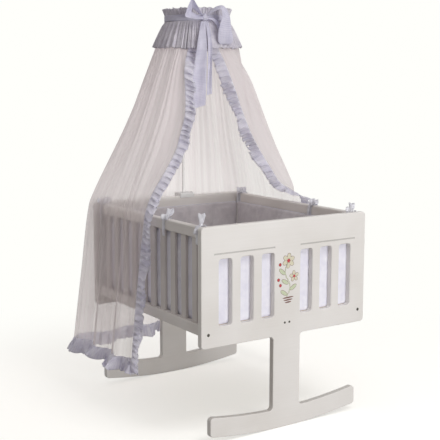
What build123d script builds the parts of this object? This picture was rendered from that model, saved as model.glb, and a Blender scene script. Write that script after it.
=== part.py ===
from build123d import *
from math import atan2, ceil, cos, degrees, radians, sin
import os

# A small cradle for two newborns. Two end boards, each cut in one piece with its stem and its rocker,
# carry two barred sides. A canopy pole clamped on the far board holds a net over the bed.
# X runs across the bed, Y from the near end board to the far one, Z up from the floor.

# Overall size
cradle_length = 860
end_board_width = 775
end_board_top = 810
end_board_bottom = 365
board_thickness = 25

# End board: outline, rocker and cut-outs
corner_radius = 14
inner_corner_radius = 15
stem_width = 128
rocker_span = 696
rocker_radius = 2250
rocker_depth = 74
slot_width = 58
slot_bottom = 441
slot_top = 689
slot_corner_radius = 12
slot_edge_chamfer = 2
slots_each_side = 3
first_slot_x = 91
slot_pitch = 96
groove_height = 709
groove_width = 6
groove_depth = 2
groove_inner_x = 60
groove_outer_x = 333
board_edge_rounding = 3

# Side frames
side_outer_x = 372
rail_thickness = 30
top_rail_bottom = 764
top_rail_top = 806
bottom_rail_bottom = 405
bottom_rail_top = 448
rail_edge_rounding = 6
slat_count = 10
slat_width = 33
slat_thickness = 12
slat_edge_rounding = 2
tenon_length = 12
tenon_clearance = 0.2

# Fasteners
bolt_height = 416
bolt_diameter = 6
bolt_head_diameter = 12
bolt_head_thickness = 3
bolt_socket_size = 5
bolt_socket_depth = 2
bolt_reach_into_rail = 42
barrel_nut_diameter = 10
barrel_nut_length = 16
barrel_nut_setback = 30
centre_screw_diameter = 5
centre_screw_head_diameter = 9
centre_screw_length = 60
centre_screw_spacing = 22
centre_screw_height = 414
dowel_diameter = 8
dowel_length = 40
dowel_depth_in_board = 14
dowel_spacing = 20
hole_clearance = 0.1

# Base
base_thickness = 12
base_edge_gap = 0.5
ledger_width = 20
ledger_height = 24
ledger_end_gap = 60
ledger_screw_diameter = 4
ledger_screw_head_diameter = 8
ledger_screw_length = 38
ledger_screw_count = 4
beam_width = 50
beam_height = 26
vent_hole_diameter = 25
vent_hole_columns = 3
vent_hole_rows = 3

# Bedding
soft_gap = 0.3
mattress_thickness = 70
mattress_crown = 8
mattress_edge_radius = 30
bumper_thickness = 18
bumper_edge_thickness = 9
bumper_top = 761.5
bumper_channels = 5
bumper_channel_dip = 4

# Ribbon ties of the bumper
tie_width = 16
tie_thickness = 1.5
tie_loop_length = 30
tie_loop_width = 20
tie_loop_thickness = 8
tie_loop_widest_share = 0.7
tie_knot_length = 14
tie_end_inset = 24
mid_tie_y = -141

# Canopy clamp and pole
pole_x = 73
pole_diameter = 12
pole_wall = 1.5
pole_clearance = 0.05
pole_board_gap = 5.5
canopy_lift = 120
clamp_top_thickness = 12
clamp_width = 70
clamp_lip_thickness = 5
clamp_lip_depth = 20
clamp_wall = 4.5
clamp_block_height = 50
clamp_leg_drop = 38
clamp_leg_thickness = 10
clamp_leg_width = 26
clamp_leg_offset = 23
clamp_edge_rounding = 1.5
clamp_screw_diameter = 6
clamp_pad_diameter = 16
clamp_pad_thickness = 3
knob_diameter = 16
knob_length = 11
knob_flute_count = 6
knob_flute_radius = 2.5
knob_gap = 4
lock_screw_drop = 9
thread_clearance = 0.05

# Canopy ring, net and collar
ring_radius = 124
ring_wire_diameter = 6
ring_height = 1585
pole_to_ring_axis = 120
clip_height = 24
clip_cover = 3.5
clip_wall = 2.5
net_thickness = 1.2
net_top_gap = 0.3
collar_drop = 120
net_under_collar_radius = 178
net_mid_height = 1140
net_mid_sag_share = 0.05
rail_crossing_height = 813
net_side_x = 397
net_back_gap = 10
net_back_bulge = 46
net_low_height = 520
net_hem_height = 225
net_hem_side_x = 440
net_hem_back_gap = 22
net_hem_bulge = 14
net_corner_flare = 16
left_edge_reach = 485
right_edge_reach = 480
right_hem_reach = 320
left_edge_angle = 226
right_edge_angle = 266
folds_side = 6
folds_back = 9
fold_top = 2
fold_collar = 4
fold_mid = 12
fold_rail = 4
fold_low = 13
fold_hem = 17
collar_gap = 1
collar_thickness = 2
collar_hem_radius = 191
collar_pleats = 26
collar_pleat_depth = 3.5
heading_height = 40
heading_flare = 8
ribbon_height = 24
ribbon_thickness = 1.5

# Frills of the net
frill_thickness = 1.6
edge_frill_width = 46
edge_frill_wave = 8
edge_frill_pitch = 44
hem_frill_height = 62
hem_frill_gathers_per_fold = 3
hem_frill_swell = 7
seam_gap = 0.4

# Bow on the collar
bow_angle = 250
bow_knot_size = 30
bow_knot_depth = 16
left_loop_length = 84
left_loop_width = 74
right_loop_length = 100
right_loop_width = 110
# Each loop's sections: shares of its length along, of its width, and of its length upwards and forwards
left_loop_shares = ((0.1, 0.35, 0, 0), (0.4, 0.8, 0.2, 0.05), (0.75, 1, 0.45, 0.1), (1, 0.4, 0.2, 0.1))
right_loop_shares = (
    (0.1, 0.25, 0, 0),
    (0.4, 0.5, 0.1, 0.12),
    (0.75, 0.9, -0.15, 0.2),
    (1, 1, -0.45, 0.22),
    (1.2, 0.7, -0.6, 0.18),
)
loop_thickness = 14
long_tail_length = 360
long_tail_width = 60
long_tail_shift = -20
long_tail_lean = -14
short_tail_length = 300
short_tail_width = 30
short_tail_shift = 14
short_tail_lean = 0
tail_thickness = 1.6
tail_gap = 6
tail_wave = 10
tail_steps = 9

half_length = cradle_length / 2
board_inner_y = half_length - board_thickness
side_inner_x = side_outer_x - rail_thickness
side_mid_x = side_outer_x - rail_thickness / 2
inner_length = 2 * board_inner_y
base_bottom = bottom_rail_bottom + ledger_height
base_top = base_bottom + base_thickness
slat_gap = (inner_length - slat_count * slat_width) / (slat_count + 1)
slat_pitch = slat_gap + slat_width
top_dowel_height = (top_rail_bottom + top_rail_top) / 2
pole_y = half_length + pole_board_gap + pole_diameter / 2
ring_centre_y = pole_y - pole_to_ring_axis
collar_hem_height = ring_height - collar_drop
net_back_y = half_length + net_back_gap
net_hem_back_y = half_length + net_hem_back_gap
left_edge_y = half_length - left_edge_reach
right_edge_y = half_length - right_edge_reach
right_hem_y = half_length - right_hem_reach
net_back_reach = net_hem_back_y + net_corner_flare + net_hem_bulge + fold_hem
footprint_shift = (half_length - net_back_reach) / 2
frame_shift = Location((0, footprint_shift, 0))


def hand_in(part, name):
    """Moves a finished piece so that the origin lies under the footprint's middle, and writes it."""
    placed = frame_shift * part
    placed.label = name
    export_step(placed, f"parts/{name}.step")


os.makedirs("parts", exist_ok=True)


def rocker_line(radius, x):
    """Height of a rocker arc of this radius at a distance x from the middle."""
    return rocker_radius - (radius**2 - x**2) ** 0.5


def end_board():
    """The near end board with its stem and rocker, its outer face towards -Y."""
    outer_face = Plane.XZ.offset(half_length)
    inner_face = Plane.XZ.offset(board_inner_y)
    tip = rocker_span / 2
    stem_side = stem_width / 2
    upper_arc = rocker_radius - rocker_depth
    panel_height = end_board_top - end_board_bottom
    stem_middle = (rocker_depth + end_board_bottom) / 2
    with BuildPart() as board:
        with BuildSketch(outer_face) as outline:
            with BuildLine():
                sole = ThreePointArc(
                    (-tip, rocker_line(rocker_radius, tip)), (0, 0), (tip, rocker_line(rocker_radius, tip))
                )
                back = ThreePointArc(
                    (tip, rocker_line(upper_arc, tip)), (0, rocker_depth), (-tip, rocker_line(upper_arc, tip))
                )
                Line(sole @ 1, back @ 0)
                Line(back @ 1, sole @ 0)
            make_face()
            with Locations((0, stem_middle)):
                Rectangle(stem_width, end_board_bottom - rocker_depth + 2 * corner_radius)
            with Locations((0, end_board_bottom + panel_height / 2)):
                Rectangle(end_board_width, panel_height)
            fillet(
                outline.vertices().filter_by(lambda v: abs(v.X) > stem_side + corner_radius),
                radius=corner_radius,
            )
            fillet(
                outline.vertices().filter_by(lambda v: abs(abs(v.X) - stem_side) < tenon_clearance),
                radius=inner_corner_radius,
            )
        extrude(amount=-board_thickness)
        faces = board.faces().filter_by(Axis.Y).sort_by(Axis.Y)
        fillet(
            faces[0].outer_wire().edges() + faces[-1].outer_wire().edges(),
            radius=board_edge_rounding,
        )
        slots = [
            (side * (first_slot_x + n * slot_pitch), (slot_bottom + slot_top) / 2)
            for side in (-1, 1)
            for n in range(slots_each_side)
        ]
        with BuildSketch(outer_face):
            with Locations(*slots):
                RectangleRounded(slot_width, slot_top - slot_bottom, slot_corner_radius)
        extrude(amount=-board_thickness, mode=Mode.SUBTRACT)
        slot_edges = [
            wire.edges()
            for face in (board.faces().sort_by(Axis.Y)[0], board.faces().sort_by(Axis.Y)[-1])
            for wire in face.inner_wires()
        ]
        chamfer([edge for edges in slot_edges for edge in edges], length=slot_edge_chamfer)
        groove_middle = (groove_inner_x + groove_outer_x) / 2
        with BuildSketch(outer_face):
            with Locations((-groove_middle, groove_height), (groove_middle, groove_height)):
                SlotOverall(groove_outer_x - groove_inner_x, groove_width)
        extrude(amount=-groove_depth, mode=Mode.SUBTRACT)
        corner_places = [(-side_mid_x, bolt_height), (side_mid_x, bolt_height)]
        centre_places = [
            (-centre_screw_spacing / 2, centre_screw_height),
            (centre_screw_spacing / 2, centre_screw_height),
        ]
        for places, shank, head in (
            (corner_places, bolt_diameter, bolt_head_diameter),
            (centre_places, centre_screw_diameter, centre_screw_head_diameter),
        ):
            with BuildSketch(outer_face):
                with Locations(*places):
                    Circle(shank / 2 + hole_clearance)
            extrude(amount=-board_thickness, mode=Mode.SUBTRACT)
            with BuildSketch(outer_face):
                with Locations(*places):
                    Circle(head / 2 + hole_clearance)
            extrude(amount=-bolt_head_thickness, mode=Mode.SUBTRACT)
        with BuildSketch(inner_face):
            with Locations(*dowel_places()):
                Circle(dowel_diameter / 2 + hole_clearance)
        extrude(amount=dowel_depth_in_board, mode=Mode.SUBTRACT)
    return board.part


def dowel_places():
    """Where the dowels of both top rails enter an end board."""
    return [
        (side * side_mid_x, top_dowel_height + step * dowel_spacing / 2)
        for side in (-1, 1)
        for step in (-1, 1)
    ]


def rail_blank(bottom, top):
    """A right-hand rail between the end boards, with its long edges rounded."""
    with BuildPart() as blank:
        with BuildSketch(Plane.XZ):
            with Locations((side_mid_x, (bottom + top) / 2)):
                RectangleRounded(rail_thickness, top - bottom, rail_edge_rounding)
        extrude(amount=inner_length / 2, both=True)
    return blank.part


def along_middle(pitch, count):
    """Positions at an even pitch, centred on the cradle's middle."""
    return [(n - (count - 1) / 2) * pitch for n in range(count)]


def slat_mortises(height, depth):
    """The mortises of one rail, sunk from a height by a depth that is negative downwards."""
    with BuildPart() as mortises:
        with BuildSketch(Plane.XY.offset(height)):
            with Locations(*[(side_mid_x, y) for y in along_middle(slat_pitch, slat_count)]):
                Rectangle(slat_thickness + tenon_clearance, slat_width + tenon_clearance)
        extrude(amount=depth)
    return mortises.part


def top_rail():
    """The right top rail: mortised below, with two dowel holes in each end."""
    with BuildPart() as rail:
        add(rail_blank(top_rail_bottom, top_rail_top))
        add(slat_mortises(top_rail_bottom, tenon_length), mode=Mode.SUBTRACT)
        holes = [
            (side_mid_x, top_dowel_height - dowel_spacing / 2),
            (side_mid_x, top_dowel_height + dowel_spacing / 2),
        ]
        for end in (-1, 1):
            with BuildSketch(Plane.XZ.offset(end * board_inner_y)):
                with Locations(*holes):
                    Circle(dowel_diameter / 2 + hole_clearance)
            extrude(amount=-end * (dowel_length - dowel_depth_in_board), mode=Mode.SUBTRACT)
    return rail.part


def bottom_rail():
    """The right bottom rail: mortised above, drilled for the bolts, their nuts and the ledger."""
    nut_y = board_inner_y - barrel_nut_setback
    with BuildPart() as rail:
        add(rail_blank(bottom_rail_bottom, bottom_rail_top))
        add(slat_mortises(bottom_rail_top, -tenon_length), mode=Mode.SUBTRACT)
        for end in (-1, 1):
            with BuildSketch(Plane.XZ.offset(end * board_inner_y)):
                with Locations((side_mid_x, bolt_height)):
                    Circle(bolt_diameter / 2 + hole_clearance)
            extrude(amount=-end * bolt_reach_into_rail, mode=Mode.SUBTRACT)
        with BuildSketch(Plane.YZ.offset(side_inner_x)):
            with Locations((-nut_y, bolt_height), (nut_y, bolt_height)):
                Circle(barrel_nut_diameter / 2 + hole_clearance)
        extrude(amount=(rail_thickness + barrel_nut_length) / 2, mode=Mode.SUBTRACT)
        with BuildSketch(Plane.YZ.offset(side_inner_x)):
            with Locations(*ledger_screw_places):
                Circle(ledger_screw_diameter / 2 + hole_clearance)
        extrude(amount=ledger_screw_length - ledger_width, mode=Mode.SUBTRACT)
    return rail.part


ledger_middle = bottom_rail_bottom + ledger_height / 2
ledger_length = inner_length - 2 * ledger_end_gap
ledger_screw_pitch = ledger_length / ledger_screw_count
ledger_inner_x = side_inner_x - ledger_width
ledger_screw_places = [(y, ledger_middle) for y in along_middle(ledger_screw_pitch, ledger_screw_count)]

near_board = end_board()
hand_in(near_board, "near_end_board")
hand_in(mirror(near_board, about=Plane.XZ), "far_end_board")

right_top_rail = top_rail()
hand_in(right_top_rail, "right_top_rail")
hand_in(mirror(right_top_rail, about=Plane.YZ), "left_top_rail")
right_bottom_rail = bottom_rail()
hand_in(right_bottom_rail, "right_bottom_rail")
hand_in(mirror(right_bottom_rail, about=Plane.YZ), "left_bottom_rail")

for side, side_name in ((-1, "left"), (1, "right")):
    for n, slat_y in enumerate(along_middle(slat_pitch, slat_count)):
        with BuildPart() as slat:
            with BuildSketch(Plane.XY.offset(bottom_rail_top - tenon_length)):
                with Locations((side * side_mid_x, slat_y)):
                    RectangleRounded(slat_thickness, slat_width, slat_edge_rounding)
            extrude(amount=top_rail_bottom - bottom_rail_top + 2 * tenon_length)
        hand_in(slat.part, f"{side_name}_slat_{n + 1:02d}")

# Fasteners, each kind in one node
with BuildPart() as corner_bolts:
    corner_plane = Plane.XZ.offset(half_length)
    bolt_places = [(-side_mid_x, bolt_height), (side_mid_x, bolt_height)]
    with BuildSketch(corner_plane):
        with Locations(*bolt_places):
            Circle(bolt_diameter / 2)
    extrude(amount=-(board_thickness + bolt_reach_into_rail))
    with BuildSketch(corner_plane):
        with Locations(*bolt_places):
            Circle(bolt_head_diameter / 2)
    extrude(amount=-bolt_head_thickness)
    with BuildSketch(corner_plane):
        with Locations(*bolt_places):
            RegularPolygon(bolt_socket_size / 2, 6, major_radius=False)
    extrude(amount=-bolt_socket_depth, mode=Mode.SUBTRACT)
    mirror(about=Plane.XZ)
hand_in(corner_bolts.part, "corner_bolts")

with BuildPart() as barrel_nuts:
    nut_start = side_mid_x - barrel_nut_length / 2
    nut_y = board_inner_y - barrel_nut_setback
    with BuildSketch(Plane.YZ.offset(nut_start)):
        with Locations((-nut_y, bolt_height), (nut_y, bolt_height)):
            Circle(barrel_nut_diameter / 2)
    extrude(amount=barrel_nut_length)
    with BuildSketch(Plane.XZ):
        with Locations((side_mid_x, bolt_height)):
            Circle(bolt_diameter / 2 + hole_clearance)
    extrude(amount=half_length, both=True, mode=Mode.SUBTRACT)
    mirror(about=Plane.YZ)
hand_in(barrel_nuts.part, "barrel_nuts")

with BuildPart() as centre_screws:
    screw_plane = Plane.XZ.offset(half_length)
    screw_places = [
        (-centre_screw_spacing / 2, centre_screw_height),
        (centre_screw_spacing / 2, centre_screw_height),
    ]
    with BuildSketch(screw_plane):
        with Locations(*screw_places):
            Circle(centre_screw_diameter / 2)
    extrude(amount=-centre_screw_length)
    with BuildSketch(screw_plane):
        with Locations(*screw_places):
            Circle(centre_screw_head_diameter / 2)
    extrude(amount=-bolt_head_thickness)
    mirror(about=Plane.XZ)
hand_in(centre_screws.part, "centre_screws")

with BuildPart() as rail_dowels:
    with BuildSketch(Plane.XZ.offset(board_inner_y + dowel_depth_in_board)):
        with Locations(*dowel_places()):
            Circle(dowel_diameter / 2)
    extrude(amount=-dowel_length)
    mirror(about=Plane.XZ)
hand_in(rail_dowels.part, "rail_dowels")

# Base of the bed: ledgers on the bottom rails, a beam between the boards, and the board they carry
with BuildPart() as right_ledger:
    with BuildSketch(Plane.XZ):
        with Locations((side_inner_x - ledger_width / 2, ledger_middle)):
            Rectangle(ledger_width, ledger_height)
    extrude(amount=ledger_length / 2, both=True)
    with BuildSketch(Plane.YZ.offset(ledger_inner_x)):
        with Locations(*ledger_screw_places):
            Circle(ledger_screw_diameter / 2 + hole_clearance)
    extrude(amount=ledger_width, mode=Mode.SUBTRACT)
    with BuildSketch(Plane.YZ.offset(ledger_inner_x)):
        with Locations(*ledger_screw_places):
            Circle(ledger_screw_head_diameter / 2 + hole_clearance)
    extrude(amount=bolt_head_thickness, mode=Mode.SUBTRACT)
hand_in(right_ledger.part, "right_base_ledger")
hand_in(mirror(right_ledger.part, about=Plane.YZ), "left_base_ledger")

with BuildPart() as ledger_screws:
    with BuildSketch(Plane.YZ.offset(ledger_inner_x)):
        with Locations(*ledger_screw_places):
            Circle(ledger_screw_diameter / 2)
    extrude(amount=ledger_screw_length)
    with BuildSketch(Plane.YZ.offset(ledger_inner_x)):
        with Locations(*ledger_screw_places):
            Circle(ledger_screw_head_diameter / 2)
    extrude(amount=bolt_head_thickness)
    mirror(about=Plane.YZ)
hand_in(ledger_screws.part, "ledger_screws")

with BuildPart() as centre_beam:
    with BuildSketch(Plane.XZ):
        with Locations((0, base_bottom - beam_height / 2)):
            Rectangle(beam_width, beam_height)
    extrude(amount=board_inner_y, both=True)
    for end in (-1, 1):
        with BuildSketch(Plane.XZ.offset(end * board_inner_y)):
            with Locations(*screw_places):
                Circle(centre_screw_diameter / 2 + hole_clearance)
        extrude(amount=-end * (centre_screw_length - board_thickness), mode=Mode.SUBTRACT)
hand_in(centre_beam.part, "centre_beam")

base_width = 2 * (side_inner_x - base_edge_gap)
base_length = 2 * (board_inner_y - base_edge_gap)
with BuildPart() as base_board:
    with BuildSketch(Plane.XY.offset(base_bottom)):
        Rectangle(base_width, base_length)
        for x in along_middle(base_width / vent_hole_columns, vent_hole_columns):
            with Locations(*[(x, y) for y in along_middle(base_length / vent_hole_rows, vent_hole_rows)]):
                Circle(vent_hole_diameter / 2, mode=Mode.SUBTRACT)
    extrude(amount=base_thickness)
hand_in(base_board.part, "base_board")

# Bedding
bed_floor = base_top + soft_gap
bed_half_width = side_inner_x - bumper_thickness - 2 * soft_gap
bed_half_length = board_inner_y - bumper_thickness - 2 * soft_gap
with BuildPart() as mattress:
    levels = (
        (0, mattress_crown),
        (mattress_crown, 0),
        (mattress_thickness - mattress_crown, 0),
        (mattress_thickness, mattress_edge_radius),
    )
    for rise, inset in levels:
        with BuildSketch(Plane.XY.offset(bed_floor + rise)):
            RectangleRounded(
                2 * (bed_half_width - inset), 2 * (bed_half_length - inset), mattress_edge_radius
            )
    loft(ruled=True)
hand_in(mattress.part, "mattress")


def bumper_pad(inward, setback, length):
    """A quilted pad that stands on the base with its flat back outwards, sewn into upright channels."""
    along = inward.cross(Vector(0, 0, 1))
    height = bumper_top - bed_floor
    steps = 2 * bumper_channels
    with BuildPart() as pad:
        for n in range(steps + 1):
            place = (n / steps - 1 / 2) * length
            dip = bumper_channel_dip * (n % 2 == 0)
            crown = bumper_thickness - dip
            if n in (0, steps):
                crown = bumper_edge_thickness + bumper_channel_dip / 2
            section = Plane(origin=inward * -setback + along * place, x_dir=inward, z_dir=along)
            with BuildSketch(section):
                with BuildLine():
                    Line((0, bed_floor), (0, bumper_top))
                    Line((0, bumper_top), (bumper_edge_thickness, bumper_top))
                    ThreePointArc(
                        (bumper_edge_thickness, bumper_top),
                        (crown, bed_floor + height / 2),
                        (bumper_edge_thickness, bed_floor),
                    )
                    Line((bumper_edge_thickness, bed_floor), (0, bed_floor))
                make_face()
        loft(ruled=True)
    return pad.part


cross_length = 2 * (side_inner_x - soft_gap)
long_length = 2 * bed_half_length
hand_in(bumper_pad(Vector(0, 1, 0), board_inner_y - soft_gap, cross_length), "near_bumper")
hand_in(bumper_pad(Vector(0, -1, 0), board_inner_y - soft_gap, cross_length), "far_bumper")
hand_in(bumper_pad(Vector(1, 0, 0), side_inner_x - soft_gap, long_length), "left_bumper")
hand_in(bumper_pad(Vector(-1, 0, 0), side_inner_x - soft_gap, long_length), "right_bumper")


def rail_tie(y):
    """A ribbon tied round the right top rail, with its bow on top."""
    rail_middle = (side_mid_x, top_dowel_height)
    rail_height = top_rail_top - top_rail_bottom
    bow_floor = end_board_top + soft_gap
    with BuildPart() as tie:
        with BuildSketch(Plane.XZ.offset(-y)):
            with Locations(rail_middle):
                wrap = 2 * (soft_gap + tie_thickness)
                Rectangle(rail_thickness + wrap, rail_height + wrap)
                Rectangle(rail_thickness + 2 * soft_gap, rail_height + 2 * soft_gap, mode=Mode.SUBTRACT)
        extrude(amount=tie_width / 2, both=True)
        with BuildSketch(Plane.XY.offset(bow_floor)):
            for side in (-1, 1):
                widest_x = side_mid_x + side * tie_loop_length * tie_loop_widest_share
                end_x = side_mid_x + side * tie_loop_length
                with BuildLine():
                    Polyline(
                        (side_mid_x, y - tie_knot_length / 2),
                        (widest_x, y - tie_loop_width / 2),
                        (end_x, y - tie_loop_width / 4),
                        (end_x, y + tie_loop_width / 4),
                        (widest_x, y + tie_loop_width / 2),
                        (side_mid_x, y + tie_knot_length / 2),
                        close=True,
                    )
                make_face()
        extrude(amount=tie_loop_thickness)
        with BuildSketch(Plane.XY.offset(top_rail_top + soft_gap)):
            with Locations((side_mid_x, y)):
                Rectangle(tie_width, tie_knot_length)
        extrude(amount=bow_floor - top_rail_top + tie_loop_thickness)
    return tie.part


tie_ends = board_inner_y - tie_end_inset
with BuildPart() as right_ties:
    for y in (-tie_ends, mid_tie_y, tie_ends):
        add(rail_tie(y))
hand_in(right_ties.part, "right_bumper_ties")
hand_in(mirror(right_ties.part, about=Plane.YZ), "left_bumper_ties")

# Canopy clamp: a hook over the far board's top edge, with a bored block for the pole behind it
clamp_left_x = pole_x - clamp_width / 2 - clamp_wall
clamp_right_x = clamp_left_x + clamp_width
clamp_seat = end_board_top + net_top_gap
clamp_top = clamp_seat + clamp_top_thickness
block_front_y = half_length + net_top_gap
block_back_y = pole_y + pole_diameter / 2 + clamp_wall
block_bottom = clamp_top - clamp_block_height
lip_back_y = board_inner_y - net_top_gap
lip_front_y = lip_back_y - clamp_lip_thickness
leg_bottom = block_bottom - clamp_leg_drop
leg_front_y = block_back_y - clamp_leg_thickness
leg_x = pole_x - clamp_leg_offset
lock_height = clamp_top - lock_screw_drop
clamp_screw_height = leg_bottom + clamp_leg_width / 2
bore_radius = pole_diameter / 2 + pole_clearance
with BuildPart() as canopy_clamp:
    with BuildSketch(Plane.YZ.offset(clamp_left_x)):
        with BuildLine():
            Polyline(
                (lip_front_y, clamp_top - clamp_lip_depth),
                (lip_front_y, clamp_top),
                (block_back_y, clamp_top),
                (block_back_y, block_bottom),
                (block_front_y, block_bottom),
                (block_front_y, clamp_seat),
                (lip_back_y, clamp_seat),
                (lip_back_y, clamp_top - clamp_lip_depth),
                close=True,
            )
        make_face()
    extrude(amount=clamp_width)
    fillet(canopy_clamp.edges().filter_by(Axis.X).group_by(Axis.Z)[-1], radius=clamp_edge_rounding)
    with BuildSketch(Plane.XZ.offset(-leg_front_y)):
        with Locations((leg_x, (leg_bottom + block_bottom) / 2)):
            RectangleRounded(clamp_leg_width, clamp_leg_drop, clamp_edge_rounding)
        with Locations((leg_x, block_bottom)):
            Rectangle(clamp_leg_width, clamp_leg_thickness)
    extrude(amount=-clamp_leg_thickness)
    with BuildSketch(Plane.XY.offset(clamp_top)):
        with Locations((pole_x, pole_y)):
            Circle(bore_radius)
    extrude(amount=-clamp_block_height, mode=Mode.SUBTRACT)
    with BuildSketch(Plane.YZ.offset(clamp_right_x)):
        with Locations((pole_y, lock_height)):
            Circle(clamp_screw_diameter / 2 + thread_clearance)
    extrude(amount=pole_x - clamp_right_x, mode=Mode.SUBTRACT)
    with BuildSketch(Plane.XZ.offset(-leg_front_y)):
        with Locations((leg_x, clamp_screw_height)):
            Circle(clamp_screw_diameter / 2 + thread_clearance)
    extrude(amount=-clamp_leg_thickness, mode=Mode.SUBTRACT)
hand_in(canopy_clamp.part, "canopy_clamp")


def thumb_screw(tip, travel, neck, pad_diameter=0):
    """A screw from its tip along a direction, with a fluted knob a neck length away."""
    across = Vector(0, 0, 1)
    start = Plane(origin=tip, x_dir=across, z_dir=travel)
    knob = Plane(origin=tip + travel * neck, x_dir=across, z_dir=travel)
    with BuildPart() as screw:
        with BuildSketch(start):
            Circle(clamp_screw_diameter / 2)
        extrude(amount=neck + knob_length / 2)
        if pad_diameter:
            with BuildSketch(start):
                Circle(pad_diameter / 2)
            extrude(amount=clamp_pad_thickness)
        with BuildSketch(knob):
            Circle(knob_diameter / 2)
            with PolarLocations(knob_diameter / 2 + knob_flute_radius / 2, knob_flute_count):
                Circle(knob_flute_radius, mode=Mode.SUBTRACT)
        extrude(amount=knob_length)
    return screw.part


lock_tip = Vector(pole_x + pole_diameter / 2 + pole_clearance, pole_y, lock_height)
lock_neck = clamp_right_x + knob_gap - lock_tip.X
hand_in(thumb_screw(lock_tip, Vector(1, 0, 0), lock_neck), "pole_lock_screw")
clamp_tip = Vector(leg_x, half_length + pole_clearance, clamp_screw_height)
clamp_neck = block_back_y + knob_gap / 2 - clamp_tip.Y
hand_in(thumb_screw(clamp_tip, Vector(0, 1, 0), clamp_neck, clamp_pad_diameter), "board_clamp_screw")

pole_foot = leg_bottom - canopy_lift
pole_top = ring_height - ring_wire_diameter / 2 - net_top_gap
with BuildPart() as canopy_pole:
    with BuildSketch(Plane.XY.offset(pole_foot)):
        with Locations((pole_x, pole_y)):
            Circle(pole_diameter / 2)
            Circle(pole_diameter / 2 - pole_wall, mode=Mode.SUBTRACT)
    extrude(amount=pole_top - pole_foot)
hand_in(canopy_pole.part, "canopy_pole")

full_turn = 360
ring_centre = Vector(pole_x, ring_centre_y, ring_height)
with BuildPart() as canopy_ring:
    with BuildSketch(Plane(origin=ring_centre, x_dir=(0, 1, 0), z_dir=(1, 0, 0))):
        with Locations((ring_radius, 0)):
            Circle(ring_wire_diameter / 2)
    revolve(axis=Axis(ring_centre, (0, 0, 1)), revolution_arc=full_turn)
hand_in(canopy_ring.part, "canopy_ring")

# The clip sits over the pole's end and snaps onto the wire from inside, flush with the ring's outside
clip_top = ring_height + ring_wire_diameter / 2 + clip_cover
clip_back_y = ring_centre_y + ring_radius + ring_wire_diameter / 2
with BuildPart() as ring_clip:
    with BuildSketch(Plane.XY.offset(clip_top)):
        with Locations((pole_x, pole_y)):
            Circle(pole_diameter / 2 + clip_wall)
    extrude(amount=-clip_height)
    with BuildSketch(Plane.XY.offset(pole_top)):
        with Locations((pole_x, pole_y)):
            Circle(pole_diameter / 2 + pole_clearance)
    extrude(amount=-clip_height, mode=Mode.SUBTRACT)
    with BuildSketch(Plane(origin=ring_centre, x_dir=(0, 1, 0), z_dir=(1, 0, 0))):
        with Locations((ring_radius, 0)):
            Circle(ring_wire_diameter / 2 + pole_clearance)
    revolve(axis=Axis(ring_centre, (0, 0, 1)), revolution_arc=full_turn, mode=Mode.SUBTRACT)
    split(bisect_by=Plane.XZ.offset(-clip_back_y), keep=Keep.TOP)
hand_in(ring_clip.part, "ring_clip")


def turned(centre, radius, angle):
    """The point at a radius and an angle in degrees round a centre."""
    return Vector(centre.X + radius * cos(radians(angle)), centre.Y + radius * sin(radians(angle)))


def stations_round(radius, angles):
    return [turned(ring_centre, radius, angle) for angle in angles]


def spread(corner_values, counts):
    """Even steps from each corner value to the next, with the given count of steps in each stretch."""
    values = [corner_values[0]]
    for start, stop, count in zip(corner_values, corner_values[1:], counts):
        values += [start + (stop - start) * n / count for n in range(1, count + 1)]
    return values


def stations_by_sides(side_x, back_y, bulge, flare, right_y):
    """Stations from the left front edge, along the left side, round the back and up the right side."""
    counts = (folds_side, folds_back, folds_side)
    corner_x = side_x + flare
    corner_y = back_y + flare
    xs = spread((-side_x, -corner_x, corner_x, side_x), counts)
    ys = spread((left_edge_y, corner_y, corner_y, right_y), counts)
    for n in range(folds_back + 1):
        across_share = n / folds_back
        ys[folds_side + n] += bulge * 4 * across_share * (1 - across_share)
    return [Vector(x, y) for x, y in zip(xs, ys)]


def between(first, second, share, sag_share=0):
    """Stations part of the way from one plan to another, drawn in towards the ring's axis by a share."""
    drawn = []
    for a, b in zip(first, second):
        point = a + (b - a) * share
        drawn.append(point + (Vector(ring_centre.X, ring_centre.Y) - point) * sag_share)
    return drawn


def inward(stations, n):
    """The unit direction at a station that points to the inner side of the cloth."""
    before = stations[max(n - 1, 0)]
    after = stations[min(n + 1, len(stations) - 1)]
    run = (after - before).normalized()
    return Vector(run.Y, -run.X)


def hanging_sheet(levels, sides, thickness):
    """Cloth hung through plans at falling heights, each a height, its stations and its folds' swing.

    The sides say for each fold whether it swings out, 1, or in, -1.
    """
    with BuildPart() as sheet:
        for height, stations, swing in levels:
            last = len(stations) - 1
            inner = [p + inward(stations, n) * thickness for n, p in enumerate(stations)]
            with BuildSketch(Plane.XY.offset(height)):
                with BuildLine():
                    for n in range(last):
                        SagittaArc(stations[n], stations[n + 1], swing * sides[n])
                    Line(stations[last], inner[last])
                    for n in range(last, 0, -1):
                        SagittaArc(inner[n], inner[n - 1], -swing * sides[n - 1])
                    Line(inner[0], stations[0])
                make_face()
        loft(ruled=True)
    return sheet.part


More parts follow.
